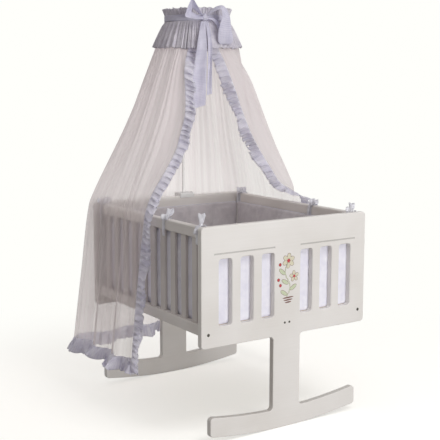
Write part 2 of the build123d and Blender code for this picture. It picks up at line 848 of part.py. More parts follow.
# The net: a ring of stations at the top, the outline of the cradle lower down, and its folds between
corner_angles = [
    degrees(atan2(net_back_y - ring_centre_y, side * net_side_x - pole_x)) for side in (-1, 1)
]
net_angles = spread(
    (left_edge_angle, corner_angles[0], corner_angles[1], right_edge_angle - full_turn),
    (folds_side, folds_back, folds_side),
)
widest_step = (corner_angles[1] - right_edge_angle + full_turn) / folds_side
ring_clear = ring_radius + ring_wire_diameter / 2 + net_top_gap
net_top_radius = (ring_clear + fold_top + net_thickness) / cos(radians(widest_step / 2))
top_plan = stations_round(net_top_radius, net_angles)
collar_plan = stations_round(net_under_collar_radius, net_angles)
rail_plan = stations_by_sides(net_side_x, net_back_y, net_back_bulge, 0, right_edge_y)
hem_plan = stations_by_sides(
    net_hem_side_x, net_hem_back_y, net_hem_bulge, net_corner_flare, right_hem_y
)
mid_share = (collar_hem_height - net_mid_height) / (collar_hem_height - rail_crossing_height)
low_share = (rail_crossing_height - net_low_height) / (rail_crossing_height - net_hem_height)
mid_plan = between(collar_plan, rail_plan, mid_share, net_mid_sag_share)
low_plan = between(rail_plan, hem_plan, low_share)
net_levels = [
    (ring_height, top_plan, fold_top),
    (ring_height - ribbon_height / 2, top_plan, fold_top),
    (collar_hem_height, collar_plan, fold_collar),
    (net_mid_height, mid_plan, fold_mid),
    (rail_crossing_height, rail_plan, fold_rail),
    (net_low_height, low_plan, fold_low),
    (net_hem_height, hem_plan, fold_hem),
]
side_folds = [(-1) ** n for n in range(folds_side)]
back_folds = [(-1) ** n for n in range(folds_back)]
net_folds = side_folds[::-1] + back_folds + side_folds
hand_in(hanging_sheet(net_levels, net_folds, net_thickness), "canopy_net")

# The collar: one gathered strip with its seam at the back, a frilled heading above the ribbon
seam_angle = 90
net_outer_radius = net_top_radius + fold_top
collar_ribbon_radius = net_outer_radius + collar_gap + collar_thickness + collar_pleat_depth / 2
seam_step = degrees(seam_gap / collar_ribbon_radius)
collar_angles = spread((seam_angle + seam_step, seam_angle + full_turn - seam_step), (collar_pleats,))
collar_angles.reverse()
collar_levels = [
    (ring_height + heading_height, collar_ribbon_radius + heading_flare, collar_pleat_depth),
    (ring_height + ribbon_height / 2, collar_ribbon_radius, collar_pleat_depth / 2),
    (ring_height - ribbon_height / 2, collar_ribbon_radius, collar_pleat_depth / 2),
    (collar_hem_height, collar_hem_radius, collar_pleat_depth),
]
collar_sheets = [(h, stations_round(r, collar_angles), depth) for h, r, depth in collar_levels]
collar_folds = [(-1) ** n for n in range(collar_pleats)]
hand_in(hanging_sheet(collar_sheets, collar_folds, collar_thickness), "canopy_collar")

pleat_half_angle = radians(full_turn / 2 / collar_pleats)
collar_outer_radius = collar_ribbon_radius * cos(pleat_half_angle) + collar_pleat_depth / 2
ribbon_inner_radius = collar_outer_radius + seam_gap
with BuildPart() as collar_ribbon:
    with BuildSketch(Plane.XY.offset(ring_height - ribbon_height / 2)):
        with Locations((pole_x, ring_centre_y)):
            Circle(ribbon_inner_radius + ribbon_thickness)
            Circle(ribbon_inner_radius, mode=Mode.SUBTRACT)
    extrude(amount=ribbon_height)
hand_in(collar_ribbon.part, "collar_ribbon")


def net_plan_at(height):
    """The stations of the net at any height between its levels."""
    for (upper, upper_plan, _), (lower, lower_plan, _) in zip(net_levels, net_levels[1:]):
        if height >= lower:
            return between(upper_plan, lower_plan, (upper - height) / (upper - lower))
    return net_levels[-1][1]


def edge_frill(edge, neighbour):
    """A gathered strip sewn down one front edge of the net, from the collar to the frill's foot."""
    marks = (
        collar_hem_height - seam_gap,
        net_mid_height,
        rail_crossing_height,
        net_low_height,
        net_hem_height,
        net_hem_height - hem_frill_height,
    )
    counts = [ceil((upper - lower) / edge_frill_pitch) for upper, lower in zip(marks, marks[1:])]
    with BuildPart() as frill:
        for n, height in enumerate(spread(marks, counts)):
            plan = net_plan_at(height)
            ahead = (plan[edge] - plan[neighbour]).normalized()
            inner_side = inward(plan, edge % len(plan))
            wave = -edge_frill_wave * (-1) ** n
            sewn = plan[edge] + ahead * seam_gap
            free = sewn + ahead * edge_frill_width - inner_side * wave
            with BuildSketch(Plane.XY.offset(height)):
                with BuildLine():
                    Polyline(
                        sewn,
                        free,
                        free + inner_side * frill_thickness,
                        sewn + inner_side * frill_thickness,
                        close=True,
                    )
                make_face()
        loft(ruled=True)
    return frill.part


hand_in(edge_frill(0, 1), "left_edge_frill")
hand_in(edge_frill(-1, -2), "right_edge_frill")


def gathered(stations, swing, sides, count):
    """The stations of a plan with each fold divided, its new points on the fold's curve."""
    divided = [stations[0]]
    for n, side in enumerate(sides):
        chord = stations[n + 1] - stations[n]
        out = Vector(-chord.Y, chord.X).normalized() * swing * side
        for step in range(1, count + 1):
            share = step / count
            divided.append(stations[n] + chord * share + out * 4 * share * (1 - share))
    return divided


frill_top = net_hem_height - seam_gap
frill_plan = gathered(hem_plan, fold_hem, net_folds, hem_frill_gathers_per_fold)
frill_plan[0] += (frill_plan[1] - frill_plan[0]).normalized() * frill_thickness
frill_plan[-1] += (frill_plan[-2] - frill_plan[-1]).normalized() * frill_thickness
frill_folds = [(-1) ** n for n in range(len(frill_plan) - 1)]
frill_levels = [
    (frill_top, frill_plan, hem_frill_swell / 2),
    (frill_top - hem_frill_height, frill_plan, hem_frill_swell),
]
hand_in(hanging_sheet(frill_levels, frill_folds, frill_thickness), "hem_frill")

# The bow: a knot on the ribbon, two loops and two tails
outward = Vector(cos(radians(bow_angle)), sin(radians(bow_angle)))
sideways = Vector(-outward.Y, outward.X)
knot_radius = ribbon_inner_radius + ribbon_thickness + seam_gap
knot_back = Vector(pole_x, ring_centre_y) + outward * knot_radius
knot_centre = knot_back + outward * (bow_knot_depth / 2) + Vector(0, 0, ring_height)


def bow_loop(direction, length, width, section_shares):
    """A puffed loop from the knot, lofted through the sections that its table of shares lists."""
    with BuildPart() as loop:
        for along_share, width_share, rise_share, forward_share in section_shares:
            place = knot_centre + sideways * direction * along_share * length
            place += Vector(0, 0, rise_share * length) + outward * forward_share * length
            with BuildSketch(Plane(origin=place, x_dir=outward, z_dir=sideways * direction)):
                RectangleRounded(loop_thickness, width * width_share, loop_thickness / 3)
        loft(ruled=True)
    return loop.part


with BuildPart() as bow:
    with BuildSketch(Plane(origin=knot_centre, x_dir=sideways, z_dir=outward)):
        RectangleRounded(bow_knot_size, bow_knot_size, bow_knot_size / 4)
    extrude(amount=bow_knot_depth / 2, both=True)
    add(bow_loop(-1, left_loop_length, left_loop_width, left_loop_shares))
    add(bow_loop(1, right_loop_length, right_loop_width, right_loop_shares))
hand_in(bow.part, "bow")


def ribbon_tail(shift, width, length, lean):
    """A ribbon end that hangs from the knot in front of the collar, waving a little."""
    top = knot_centre.Z - bow_knot_size / 2 - seam_gap
    with BuildPart() as tail:
        for n in range(tail_steps + 1):
            drop = length * n / tail_steps
            height = top - drop
            slope_share = min((ring_height - height) / (ring_height - collar_hem_height), 1)
            collar_radius = ribbon_inner_radius + (collar_hem_radius - collar_ribbon_radius) * slope_share
            wave = tail_wave * (n % 2) * (slope_share == 1)
            stand_off = collar_radius + collar_pleat_depth + tail_thickness + tail_gap + wave
            middle = Vector(pole_x, ring_centre_y) + outward * stand_off
            middle += sideways * (shift + lean * drop / length)
            with BuildSketch(Plane(origin=middle + Vector(0, 0, height), x_dir=sideways, z_dir=(0, 0, 1))):
                Rectangle(width * (1 + drop / length) / 2, tail_thickness)
        loft(ruled=True)
    return tail.part


long_tail = ribbon_tail(long_tail_shift, long_tail_width, long_tail_length, long_tail_lean)
hand_in(long_tail, "bow_long_tail")
short_tail = ribbon_tail(short_tail_shift, short_tail_width, short_tail_length, short_tail_lean)
hand_in(short_tail, "bow_short_tail")
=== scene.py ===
import bmesh
import bpy
from math import atan2, cos, degrees, pi, radians, sin, tau
from mathutils import Matrix, Vector, noise


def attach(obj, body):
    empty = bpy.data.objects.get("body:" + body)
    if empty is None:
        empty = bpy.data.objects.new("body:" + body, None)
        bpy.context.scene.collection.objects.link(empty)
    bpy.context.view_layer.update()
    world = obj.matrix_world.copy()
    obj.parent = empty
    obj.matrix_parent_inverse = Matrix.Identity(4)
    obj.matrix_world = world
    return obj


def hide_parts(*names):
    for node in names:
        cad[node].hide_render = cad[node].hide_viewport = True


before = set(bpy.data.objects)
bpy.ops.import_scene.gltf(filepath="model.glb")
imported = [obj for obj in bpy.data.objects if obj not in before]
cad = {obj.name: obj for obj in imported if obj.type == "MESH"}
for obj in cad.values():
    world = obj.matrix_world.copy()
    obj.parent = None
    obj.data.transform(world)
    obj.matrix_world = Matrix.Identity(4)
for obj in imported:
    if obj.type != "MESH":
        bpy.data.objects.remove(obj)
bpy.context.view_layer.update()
scene = bpy.context.scene
mm = 0.001

# Camera, where the photograph's perspective puts it
camera_place = Vector((-2.1379, -3.2069, 1.3227))
camera_turn = radians(-33.716)
camera_pitch = radians(8.458)
camera_roll = radians(0.077)
camera_lens = 76.54

camera_data = bpy.data.cameras.new("camera")
camera_data.lens = camera_lens
camera_data.sensor_width = 36
camera_data.clip_end = 100
camera = bpy.data.objects.new("camera", camera_data)
scene.collection.objects.link(camera)
aim = Matrix.Rotation(camera_turn, 4, "Z") @ Matrix.Rotation(pi / 2 - camera_pitch, 4, "X")
camera.matrix_world = Matrix.Translation(camera_place) @ aim @ Matrix.Rotation(camera_roll, 4, "Z")
scene.camera = camera

# Plain lamps: a wide low one far in front, which also lights under the bed, and a faint one above
scene.view_settings.view_transform = "Standard"


def lamp(name, place, target, width, height, power):
    """A broad flat lamp turned towards a point."""
    data = bpy.data.lights.new(name, "AREA")
    data.shape = "RECTANGLE"
    data.size = width
    data.size_y = height
    data.energy = power
    turn = (Vector(target) - Vector(place)).to_track_quat("-Z", "Y")
    lamp_object = bpy.data.objects.new(name, data)
    lamp_object.matrix_world = Matrix.Translation(place) @ turn.to_matrix().to_4x4()
    scene.collection.objects.link(lamp_object)


lamp("key_lamp", (0.8, -7.2, 0.8), (0, 0, 0.6), 4.6, 0.36, 218)
lamp("top_lamp", (0.3, -2.3, 3.4), (0, 0, 0.7), 1.2, 1.2, 26)


def linear(hex_colour):
    """A hex sRGB colour as the linear colour that a shader takes."""
    channels = [int(hex_colour[n:n + 2], 16) / 255 for n in (1, 3, 5)]
    return tuple(c / 12.92 if c <= 0.04045 else ((c + 0.055) / 1.055) ** 2.4 for c in channels) + (1,)


def node(tree, kind, settings=None, **inputs):
    """Adds one shader node, with its settings, and its inputs set or linked by their names or numbers."""
    made = tree.nodes.new(kind)
    for key, value in (settings or {}).items():
        setattr(made, key, value)
    for key, value in inputs.items():
        numbered = key[0] == "i" and key[1:].isdigit()
        socket = made.inputs[int(key[1:]) if numbered else key.replace("_", " ")]
        if isinstance(value, bpy.types.NodeSocket):
            tree.links.new(value, socket)
        else:
            socket.default_value = value
    return made


def maths(tree, operation, *values, **settings):
    """The result of one sum on sockets or numbers."""
    inputs = {f"i{n}": value for n, value in enumerate(values)}
    return node(tree, "ShaderNodeMath", {"operation": operation, **settings}, **inputs).outputs[0]


def ranged(tree, value, source, given, **settings):
    """A value moved from one range (low, high) to another."""
    ends = {"From_Min": source[0], "From_Max": source[1], "To_Min": given[0], "To_Max": given[1]}
    return node(tree, "ShaderNodeMapRange", settings, Value=value, **ends).outputs[0]


def speckle(tree, place, scale, detail, **inputs):
    """Noise of so many spots in a metre, from 0 to 1."""
    return node(tree, "ShaderNodeTexNoise", Vector=place, Scale=scale, Detail=detail, **inputs).outputs["Fac"]


def bands(tree, place, direction, pitch, **inputs):
    """Soft bands at a pitch in metres; the texture's own pitch is 0.16 of its scale."""
    settings = {"wave_type": "BANDS", "bands_direction": direction}
    wave = node(tree, "ShaderNodeTexWave", settings, Vector=place, Scale=0.16 / pitch, **inputs)
    return wave.outputs["Fac"]


def along_grain(tree, place, grain_axis, across, along):
    """Places drawn out along the grain: so many streaks in a metre across it, and along it."""
    stretch = [across, across, across]
    stretch["XYZ".index(grain_axis)] = along
    return node(tree, "ShaderNodeMapping", Vector=place, Scale=stretch).outputs[0]


def relief(tree, height, strength, depth):
    """The normal of a surface with a relief of a depth in metres."""
    return node(tree, "ShaderNodeBump", Strength=strength, Distance=depth, Height=height).outputs[0]


def mixed(tree, share, first, second):
    """The first shader, with a share of the second."""
    return node(tree, "ShaderNodeMixShader", Fac=share, i1=first.outputs[0], i2=second.outputs[0])


def new_material(name):
    """An empty material and its node tree."""
    material = bpy.data.materials.new(name)
    material.use_nodes = True
    material.node_tree.nodes.clear()
    return material, material.node_tree


def finish_material(tree, shader):
    """Links the last shader to the material's output."""
    out = tree.nodes.new("ShaderNodeOutputMaterial")
    tree.links.new(shader.outputs[0], out.inputs["Surface"])


def ramp(tree, factor, stops):
    """A colour ramp between (place, hex colour) stops."""
    made = node(tree, "ShaderNodeValToRGB", Fac=factor)
    elements = made.color_ramp.elements
    while len(elements) < len(stops):
        elements.new(0.5)
    for element, (place, colour) in zip(elements, stops):
        element.position = place
        element.color = linear(colour)
    return made.outputs["Color"]


def one_surface(material, tree, **looks):
    """The material, finished with one principled surface."""
    finish_material(tree, node(tree, "ShaderNodeBsdfPrincipled", **looks))
    return material


# Stage: a pale floor that keeps the shadow, and an even sky that shows white behind the cradle
def seen_rays(tree):
    """1 for rays that look at a surface, straight, mirrored or through a clear one."""
    ray = tree.nodes.new("ShaderNodeLightPath").outputs
    straight_or_mirrored = maths(tree, "MAXIMUM", ray["Is Camera Ray"], ray["Is Glossy Ray"])
    return maths(tree, "MAXIMUM", straight_or_mirrored, ray["Is Transmission Ray"])


world = bpy.data.worlds.new("studio")
scene.world = world
world.use_nodes = True
sky_tree = world.node_tree
sky_tree.nodes.clear()
sky = node(sky_tree, "ShaderNodeBackground", Color=linear("#fbf7f5"), Strength=0.43)
backdrop = node(sky_tree, "ShaderNodeBackground", Color=linear("#fffffb"), Strength=1.0)
sky_mix = mixed(sky_tree, seen_rays(sky_tree), sky, backdrop)
world_out = sky_tree.nodes.new("ShaderNodeOutputWorld")
sky_tree.links.new(sky_mix.outputs[0], world_out.inputs["Surface"])

floor_paint, floor_tree = new_material("pale_floor_paint")
floor_plain = node(floor_tree, "ShaderNodeBsdfDiffuse", Color=linear("#8f8c89"))
floor_pale = node(floor_tree, "ShaderNodeBsdfDiffuse", Color=linear("#f4f3f0"))
floor_glow = node(floor_tree, "ShaderNodeEmission", Color=linear("#fffffb"), Strength=0.52)
floor_near = node(floor_tree, "ShaderNodeAddShader", i0=floor_pale.outputs[0], i1=floor_glow.outputs[0])
# The seen floor keeps its shadow round the cradle and runs out to plain white beyond it
shadow_reach = (0.7, 1.9)
floor_place = node(floor_tree, "ShaderNodeTexCoord").outputs["Object"]
floor_off = node(floor_tree, "ShaderNodeVectorMath", {"operation": "LENGTH"}, i0=floor_place)
floor_far = node(floor_tree, "ShaderNodeEmission", Color=linear("#fffffb"), Strength=1.0)
fade = ranged(floor_tree, floor_off.outputs["Value"], shadow_reach, (0, 1), interpolation_type="SMOOTHSTEP")
floor_seen = mixed(floor_tree, fade, floor_near, floor_far)
finish_material(floor_tree, mixed(floor_tree, seen_rays(floor_tree), floor_plain, floor_seen))
bpy.ops.object.select_all(action="DESELECT")
bpy.ops.mesh.primitive_plane_add(size=60, location=(0, 0, 0))
floor = bpy.context.object
floor.name = "floor"
floor.data.materials.append(floor_paint)


# The end boards' grooves, where the lacquer gets painted shade: the middle and half length of each to either
# side, their height and half width
groove_middle, groove_half_length, groove_height, groove_half_width = 0.1965, 0.1365, 0.709, 0.003


def lacquered_wood(name, grain_axis, pale, dark, roughness, shade_grooves=False):
    """Sprayed satin lacquer: an even colour with slow drift, fine orange peel and a hint of grain, with
    painted shade in the grooves where asked.
    """
    material, tree = new_material(name)
    place = node(tree, "ShaderNodeTexCoord").outputs["Object"]
    # Grain streaks about 3 mm wide and 120 mm long, kept faint under the lacquer
    grain = speckle(tree, along_grain(tree, place, grain_axis, 330, 8), 1, 3)
    shade = maths(tree, "MULTIPLY_ADD", grain, 0.25, speckle(tree, place, 5, 2))
    colour = ramp(tree, shade, [(0.35, dark), (0.85, pale)])
    if shade_grooves:
        # Painted shade: the colour is darkened to 0.68 of itself along the grooves, where shade falls
        parts = node(tree, "ShaderNodeSeparateXYZ", Vector=place).outputs
        off = maths(tree, "ABSOLUTE", parts["X"])
        inside = maths(tree, "COMPARE", off, groove_middle, groove_half_length)
        level = maths(tree, "COMPARE", parts["Z"], groove_height, groove_half_width)
        keep = ranged(tree, maths(tree, "MULTIPLY", inside, level), (0, 1), (1, 0.68))
        groove_shaded = node(tree, "ShaderNodeVectorMath", {"operation": "SCALE"}, i0=colour, Scale=keep)
        colour = groove_shaded.outputs[0]
    peel = speckle(tree, place, 420, 2)
    normal = relief(tree, maths(tree, "MULTIPLY_ADD", grain, 0.6, peel), 0.12, 0.0004)
    gloss = ranged(tree, peel, (0, 1), (roughness - 0.05, roughness + 0.08))
    return one_surface(material, tree, Base_Color=colour, Roughness=gloss, Normal=normal, IOR=1.5)


def bare_wood(name, grain_axis, pale, dark):
    """Planed wood without lacquer: streaked grain, small pores and a dry surface."""
    material, tree = new_material(name)
    place = node(tree, "ShaderNodeTexCoord").outputs["Object"]
    grain = speckle(tree, along_grain(tree, place, grain_axis, 160, 5), 1, 5, Distortion=0.4)
    colour = ramp(tree, grain, [(0.3, dark), (0.62, pale)])
    normal = relief(tree, grain, 0.3, 0.0003)
    return one_surface(material, tree, Base_Color=colour, Roughness=0.62, Normal=normal)


def plated_steel(name, colour, roughness):
    """Zinc plate: a metal with a slightly cloudy shine."""
    material, tree = new_material(name)
    cloud = speckle(tree, node(tree, "ShaderNodeTexCoord").outputs["Object"], 900, 3)
    gloss = ranged(tree, cloud, (0, 1), (roughness - 0.08, roughness + 0.12))
    normal = relief(tree, cloud, 0.15, 0.0001)
    looks = {"Base_Color": linear(colour), "Metallic": 1.0, "Roughness": gloss}
    return one_surface(material, tree, Normal=normal, **looks)


def moulded(name, pale, dark, roughness, peel_scale, peel_depth):
    """Moulded, coated or printed finish: one colour with fine texture in its surface."""
    material, tree = new_material(name)
    peel = speckle(tree, node(tree, "ShaderNodeTexCoord").outputs["Object"], peel_scale, 2)
    colour = ramp(tree, peel, [(0.3, dark), (0.7, pale)])
    normal = relief(tree, peel, 0.25, peel_depth)
    return one_surface(material, tree, Base_Color=colour, Roughness=roughness, Normal=normal)


def woven(name, pale, dark, thread_mm, check_mm=0.0, sheen=0.2, roughness=0.85, glow=0.0):
    """Woven cloth on the piece's own map: crossed threads, a fine two-way check, and light let through."""
    material, tree = new_material(name)
    cloth_map = node(tree, "ShaderNodeUVMap", {"uv_map": "cloth"}).outputs[0]
    place = node(tree, "ShaderNodeTexCoord").outputs["Object"]
    threads = [bands(tree, cloth_map, way, thread_mm * mm, Distortion=0.6) for way in "XY"]
    weave = maths(tree, "MULTIPLY", *threads)
    tone = maths(tree, "MULTIPLY_ADD", weave, 0.25, speckle(tree, place, 30, 3))
    if check_mm:
        stripes = [bands(tree, cloth_map, way, check_mm * mm) for way in "XY"]
        both = maths(tree, "ADD", *(maths(tree, "GREATER_THAN", stripe, 0.5) for stripe in stripes))
        tone = maths(tree, "ADD", maths(tree, "MULTIPLY_ADD", both, -0.2, tone), 0.18)
    colour = ramp(tree, tone, [(0.2, dark), (0.8, pale)])
    normal = relief(tree, weave, 0.35, 0.0003)
    looks = {"Base_Color": colour, "Roughness": roughness, "Normal": normal}
    shader = node(tree, "ShaderNodeBsdfPrincipled", Sheen_Weight=sheen, Sheen_Roughness=0.4, **looks)
    if glow:
        through = node(tree, "ShaderNodeBsdfTranslucent", Color=colour, Normal=normal)
        shader = mixed(tree, glow, shader, through)
    finish_material(tree, shader)
    return material


def sheer(name, pale, dark, thinnest, thickest):
    """Sheer voile: threads with open holes between, as a part-clear cloth, denser along gathered streaks."""
    material, tree = new_material(name)
    cloth_map = node(tree, "ShaderNodeUVMap", {"uv_map": "cloth"}).outputs[0]
    # Streaks about 12 mm wide in soft bands of 60 mm, which run down the drop as the heading's gathers do
    fan, wide = (
        node(tree, "ShaderNodeMapping", Vector=cloth_map, Scale=scale).outputs[0]
        for scale in ((104, 0.5, 1), (20, 0.4, 1))
    )
    streak = speckle(tree, fan, 1, 3, Roughness=0.6)
    threads = bands(tree, cloth_map, "DIAGONAL", 1.2 * mm, Distortion=1)
    fill = maths(tree, "MULTIPLY_ADD", threads, 0.06, streak)
    fill = maths(tree, "ADD", fill, speckle(tree, wide, 1, 1))
    cover = ranged(tree, fill, (0.75, 1.35), (thinnest, thickest))
    # The gathers lie closer together towards the top, and at the back, so the cloth covers more there
    drop = node(tree, "ShaderNodeSeparateXYZ", Vector=cloth_map).outputs
    top = ranged(tree, drop["Y"], (-1.0, -0.15), (0.0, 0.2))
    off_back = maths(tree, "ABSOLUTE", maths(tree, "SUBTRACT", drop["X"], 1.125))
    back = ranged(tree, off_back, (0.40, 0.62), (0.15, 0.0))
    cover = maths(tree, "ADD", cover, maths(tree, "ADD", top, back), use_clamp=True)
    colour = ramp(tree, streak, [(0.35, pale), (0.7, dark)])
    normal = relief(tree, threads, 0.2, 0.0003)
    looks = {"Base_Color": colour, "Roughness": 0.8, "Normal": normal, "Alpha": cover, "Sheen_Weight": 0.5}
    solid = node(tree, "ShaderNodeBsdfPrincipled", **looks)
    through = node(tree, "ShaderNodeBsdfTranslucent", Color=colour, Normal=normal)
    glowing = mixed(tree, cover, node(tree, "ShaderNodeBsdfTransparent"), through)
    finish_material(tree, mixed(tree, 0.5, solid, glowing))
    return material


lacquered_board = lacquered_wood("satin_lacquer_on_board", "X", "#eeebe8", "#e3dfda", 0.36, shade_grooves=True)
lacquered_rail = lacquered_wood("satin_lacquer_on_beech_rail", "Y", "#ebe6e3", "#ddd7d2", 0.38)
# Painted shade: the slats' lacquer is given darker than the rails' and boards', standing in for the shade on
# the barred sides
slat_lacquer_painted_shade = lacquered_wood("satin_lacquer_on_beech_slat", "Z", "#d8d2cf", "#c9c2be", 0.38)
birch_plywood = bare_wood("sanded_birch_plywood", "Y", "#dcc7a2", "#c8ad84")
planed_beech = bare_wood("planed_beech", "Y", "#d3ae86", "#bd9268")
zinc_plate = plated_steel("zinc_plated_steel", "#575550", 0.42)
powder_coat = moulded("white_powder_coat_on_steel", "#efefed", "#e4e4e2", 0.4, 700, 0.0002)
white_nylon = moulded("white_moulded_nylon", "#e9e9e8", "#dededd", 0.5, 1100, 0.0002)
dark_nylon = moulded("dark_moulded_nylon", "#3a3a40", "#26262a", 0.5, 1100, 0.0002)
mattress_cotton = woven("plain_woven_mattress_cotton", "#f4f2ee", "#e4e1db", 1.6)
bumper_cotton = woven("quilted_bumper_cotton", "#d6d1d4", "#c1bcc1", 1.4)
bumper_lining = woven("bleached_bumper_lining", "#f8f7ff", "#e6e5f4", 1.4)
welt_cotton = woven("bias_cut_cotton_welt", "#e6e4ea", "#d2d0da", 1.2)
satin_ribbon = woven("white_satin_ribbon", "#fafafd", "#e9e8f0", 1.0, sheen=0.1, roughness=0.42, glow=0.35)
collar_gingham = woven("collar_gingham_cotton", "#efecf2", "#cfcbd6", 1.0, check_mm=3.2, glow=0.3)
frill_gingham = woven("frill_gingham_cotton", "#f9f8fc", "#e0deea", 1.0, check_mm=3.2, glow=0.5)
bow_gingham = woven("bow_gingham_ribbon", "#f1effa", "#d5d3e4", 1.0, check_mm=3.2, glow=0.3)
net_voile = sheer("sheer_voile_net", "#fbf4f5", "#ece2e5", 0.38, 0.58)
print_cream = moulded("cream_screen_print", "#e4dfc8", "#d6d0b6", 0.5, 900, 0.00005)
print_green = moulded("soft_green_screen_print", "#d5dcc0", "#c4cdab", 0.5, 900, 0.00005)
print_red = moulded("red_screen_print", "#cc4048", "#b3303a", 0.5, 900, 0.00005)
print_brown = moulded("brown_screen_print", "#7c5348", "#6a4339", 0.5, 900, 0.00005)

finishes = {
    "near_end_board": lacquered_board, "far_end_board": lacquered_board,
    "base_board": birch_plywood, "centre_beam": planed_beech, "left_base_ledger": planed_beech,
    "right_base_ledger": planed_beech, "rail_dowels": planed_beech, "corner_bolts": zinc_plate,
    "barrel_nuts": zinc_plate, "centre_screws": zinc_plate, "ledger_screws": zinc_plate,
    "canopy_pole": powder_coat, "canopy_ring": powder_coat, "canopy_clamp": white_nylon,
    "ring_clip": white_nylon, "pole_lock_screw": dark_nylon, "board_clamp_screw": dark_nylon,
}
for name, piece in cad.items():
    finish = finishes.get(name)
    if "_slat_" in name:
        finish = slat_lacquer_painted_shade
    if name.endswith("_rail"):
        finish = lacquered_rail
    if finish:
        piece.data.materials.clear()
        piece.data.materials.append(finish)


# Cloth shapes
def cloth(name, patches, material, thickness, body, slot):
    """A cloth of patches, each (rows of points from its top edge down, flat width, flat length, closed)."""
    points, faces, uvs = [], [], []
    for rows, width, length, closed in patches:
        first = len(points)
        columns = len(rows[0])
        points += [p for row in rows for p in row]
        for r in range(len(rows) - 1):
            for c in range(columns if closed else columns - 1):
                d = (c + 1) % columns
                above, below = first + r * columns, first + (r + 1) * columns
                faces.append((above + c, below + c, below + d, above + d))
                left, right = width * c / (columns - 1), width * (c + 1) / (columns - 1)
                top, foot = -length * r / (len(rows) - 1), -length * (r + 1) / (len(rows) - 1)
                uvs += [(left, top), (left, foot), (right, foot), (right, top)]
    mesh = bpy.data.meshes.new(name)
    mesh.from_pydata(points, [], faces)
    layer = mesh.uv_layers.new(name="cloth")
    for loop, uv in enumerate(uvs):
        layer.data[loop].uv = uv
    mesh.polygons.foreach_set("use_smooth", [True] * len(mesh.polygons))
    mesh.materials.append(material)
    piece = bpy.data.objects.new(name, mesh)
    scene.collection.objects.link(piece)
    if thickness:
        solidify = piece.modifiers.new("cloth_thickness", "SOLIDIFY")
        solidify.thickness = thickness
        solidify.offset = 0
    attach(piece, body)
    return piece


def rough(x, y=0.0, z=0.0):
    """Smooth noise from -1 to 1, the same each run."""
    return noise.noise(Vector((x, y, z)))


def grid(rows, columns, point, closed=False):
    """Rows of points from a function of the share gone down the rows and the share gone along a row."""
    count = columns if closed else columns + 1
    return [[point(r / rows, c / columns) for c in range(count)] for r in range(rows + 1)]


# Bedding: two-sided blanks sewn along their seams, puffed out by the cloth solver
def blank(length, height, columns, rows, depth):
    """A flat two-sided blank as points (along, up, through), faces, and the point number of each place."""
    stride = (columns + 1) * (rows + 1)

    def number(i, j, side):
        return side * stride + j * (columns + 1) + i

    points = [
        (length * (i / columns - 0.5), height * j / rows, depth * side)
        for side in (0, 1) for j in range(rows + 1) for i in range(columns + 1)
    ]
    faces = []
    for j in range(rows):
        for i in range(columns):
            faces.append((number(i, j, 0), number(i, j + 1, 0), number(i + 1, j + 1, 0), number(i + 1, j, 0)))
            faces.append((number(i, j, 1), number(i + 1, j, 1), number(i + 1, j + 1, 1), number(i, j + 1, 1)))
    rim = [(i, 0) for i in range(columns)] + [(columns, j) for j in range(rows)]
    rim += [(i, rows) for i in range(columns, 0, -1)] + [(0, j) for j in range(rows, 0, -1)]
    for here, there in zip(rim, rim[1:] + rim[:1]):
        faces.append((number(*here, 0), number(*there, 0), number(*there, 1), number(*here, 1)))
    return points, faces, number, rim


puff_frames = 20


def puffed(points, faces, sewn, pressure, growth, cap):
    """The blank's points after the cloth solver has blown it up between its sewn points."""
    mesh = bpy.data.meshes.new("blank")
    mesh.from_pydata(points, [], faces)
    piece = bpy.data.objects.new("blank", mesh)
    scene.collection.objects.link(piece)
    piece.vertex_groups.new(name="sewn").add(sewn, 1.0, "REPLACE")
    solver = piece.modifiers.new("puff", "CLOTH")
    solver.collision_settings.use_collision = False
    solver.point_cache.frame_end = puff_frames
    settings = solver.settings
    settings.quality = 5
    settings.mass = 0.15
    settings.tension_stiffness = 12
    settings.compression_stiffness = 12
    settings.shear_stiffness = 4
    settings.bending_stiffness = 0.3
    settings.vertex_group_mass = "sewn"
    settings.use_pressure = True
    settings.uniform_pressure_force = pressure
    settings.shrink_min = -growth
    settings.effector_weights.gravity = 0
    for number in range(1, puff_frames + 1):
        scene.frame_set(number)
    result = piece.evaluated_get(bpy.context.evaluated_depsgraph_get()).to_mesh()
    blown = []
    for vertex, start in zip(result.vertices, points):
        move = vertex.co - Vector(start)
        if move.length > cap:
            move = move * (cap / move.length)
        blown.append(Vector(start) + move)
    bpy.data.objects.remove(piece)
    scene.frame_set(1)
    return blown


def pad(name, points, faces, flat, place, material, lining=None):
    """A finished pad from blown points, mapped by its flat blank and set in place, with one subdivision."""
    mesh = bpy.data.meshes.new(name)
    mesh.from_pydata([place(*p) for p in points], [], faces)
    layer = mesh.uv_layers.new(name="cloth")
    for polygon in mesh.polygons:
        for loop in polygon.loop_indices:
            corner = flat[mesh.loops[loop].vertex_index]
            layer.data[loop].uv = (corner[0] + corner[2], corner[1])
    work = bmesh.new()
    work.from_mesh(mesh)
    bmesh.ops.recalc_face_normals(work, faces=work.faces)
    work.to_mesh(mesh)
    work.free()
    mesh.polygons.foreach_set("use_smooth", [True] * len(mesh.polygons))
    mesh.materials.append(material)
    if lining:
        mesh.materials.append(lining)
        for polygon in mesh.polygons:
            # The lining is the blank's first side, where its depth is nought
            polygon.material_index = int(all(flat[corner][2] == 0 for corner in polygon.vertices))
    piece = bpy.data.objects.new(name, mesh)
    scene.collection.objects.link(piece)
    smooth = piece.modifiers.new("softened", "SUBSURF")
    smooth.levels = 1
    smooth.render_levels = 1
    return piece


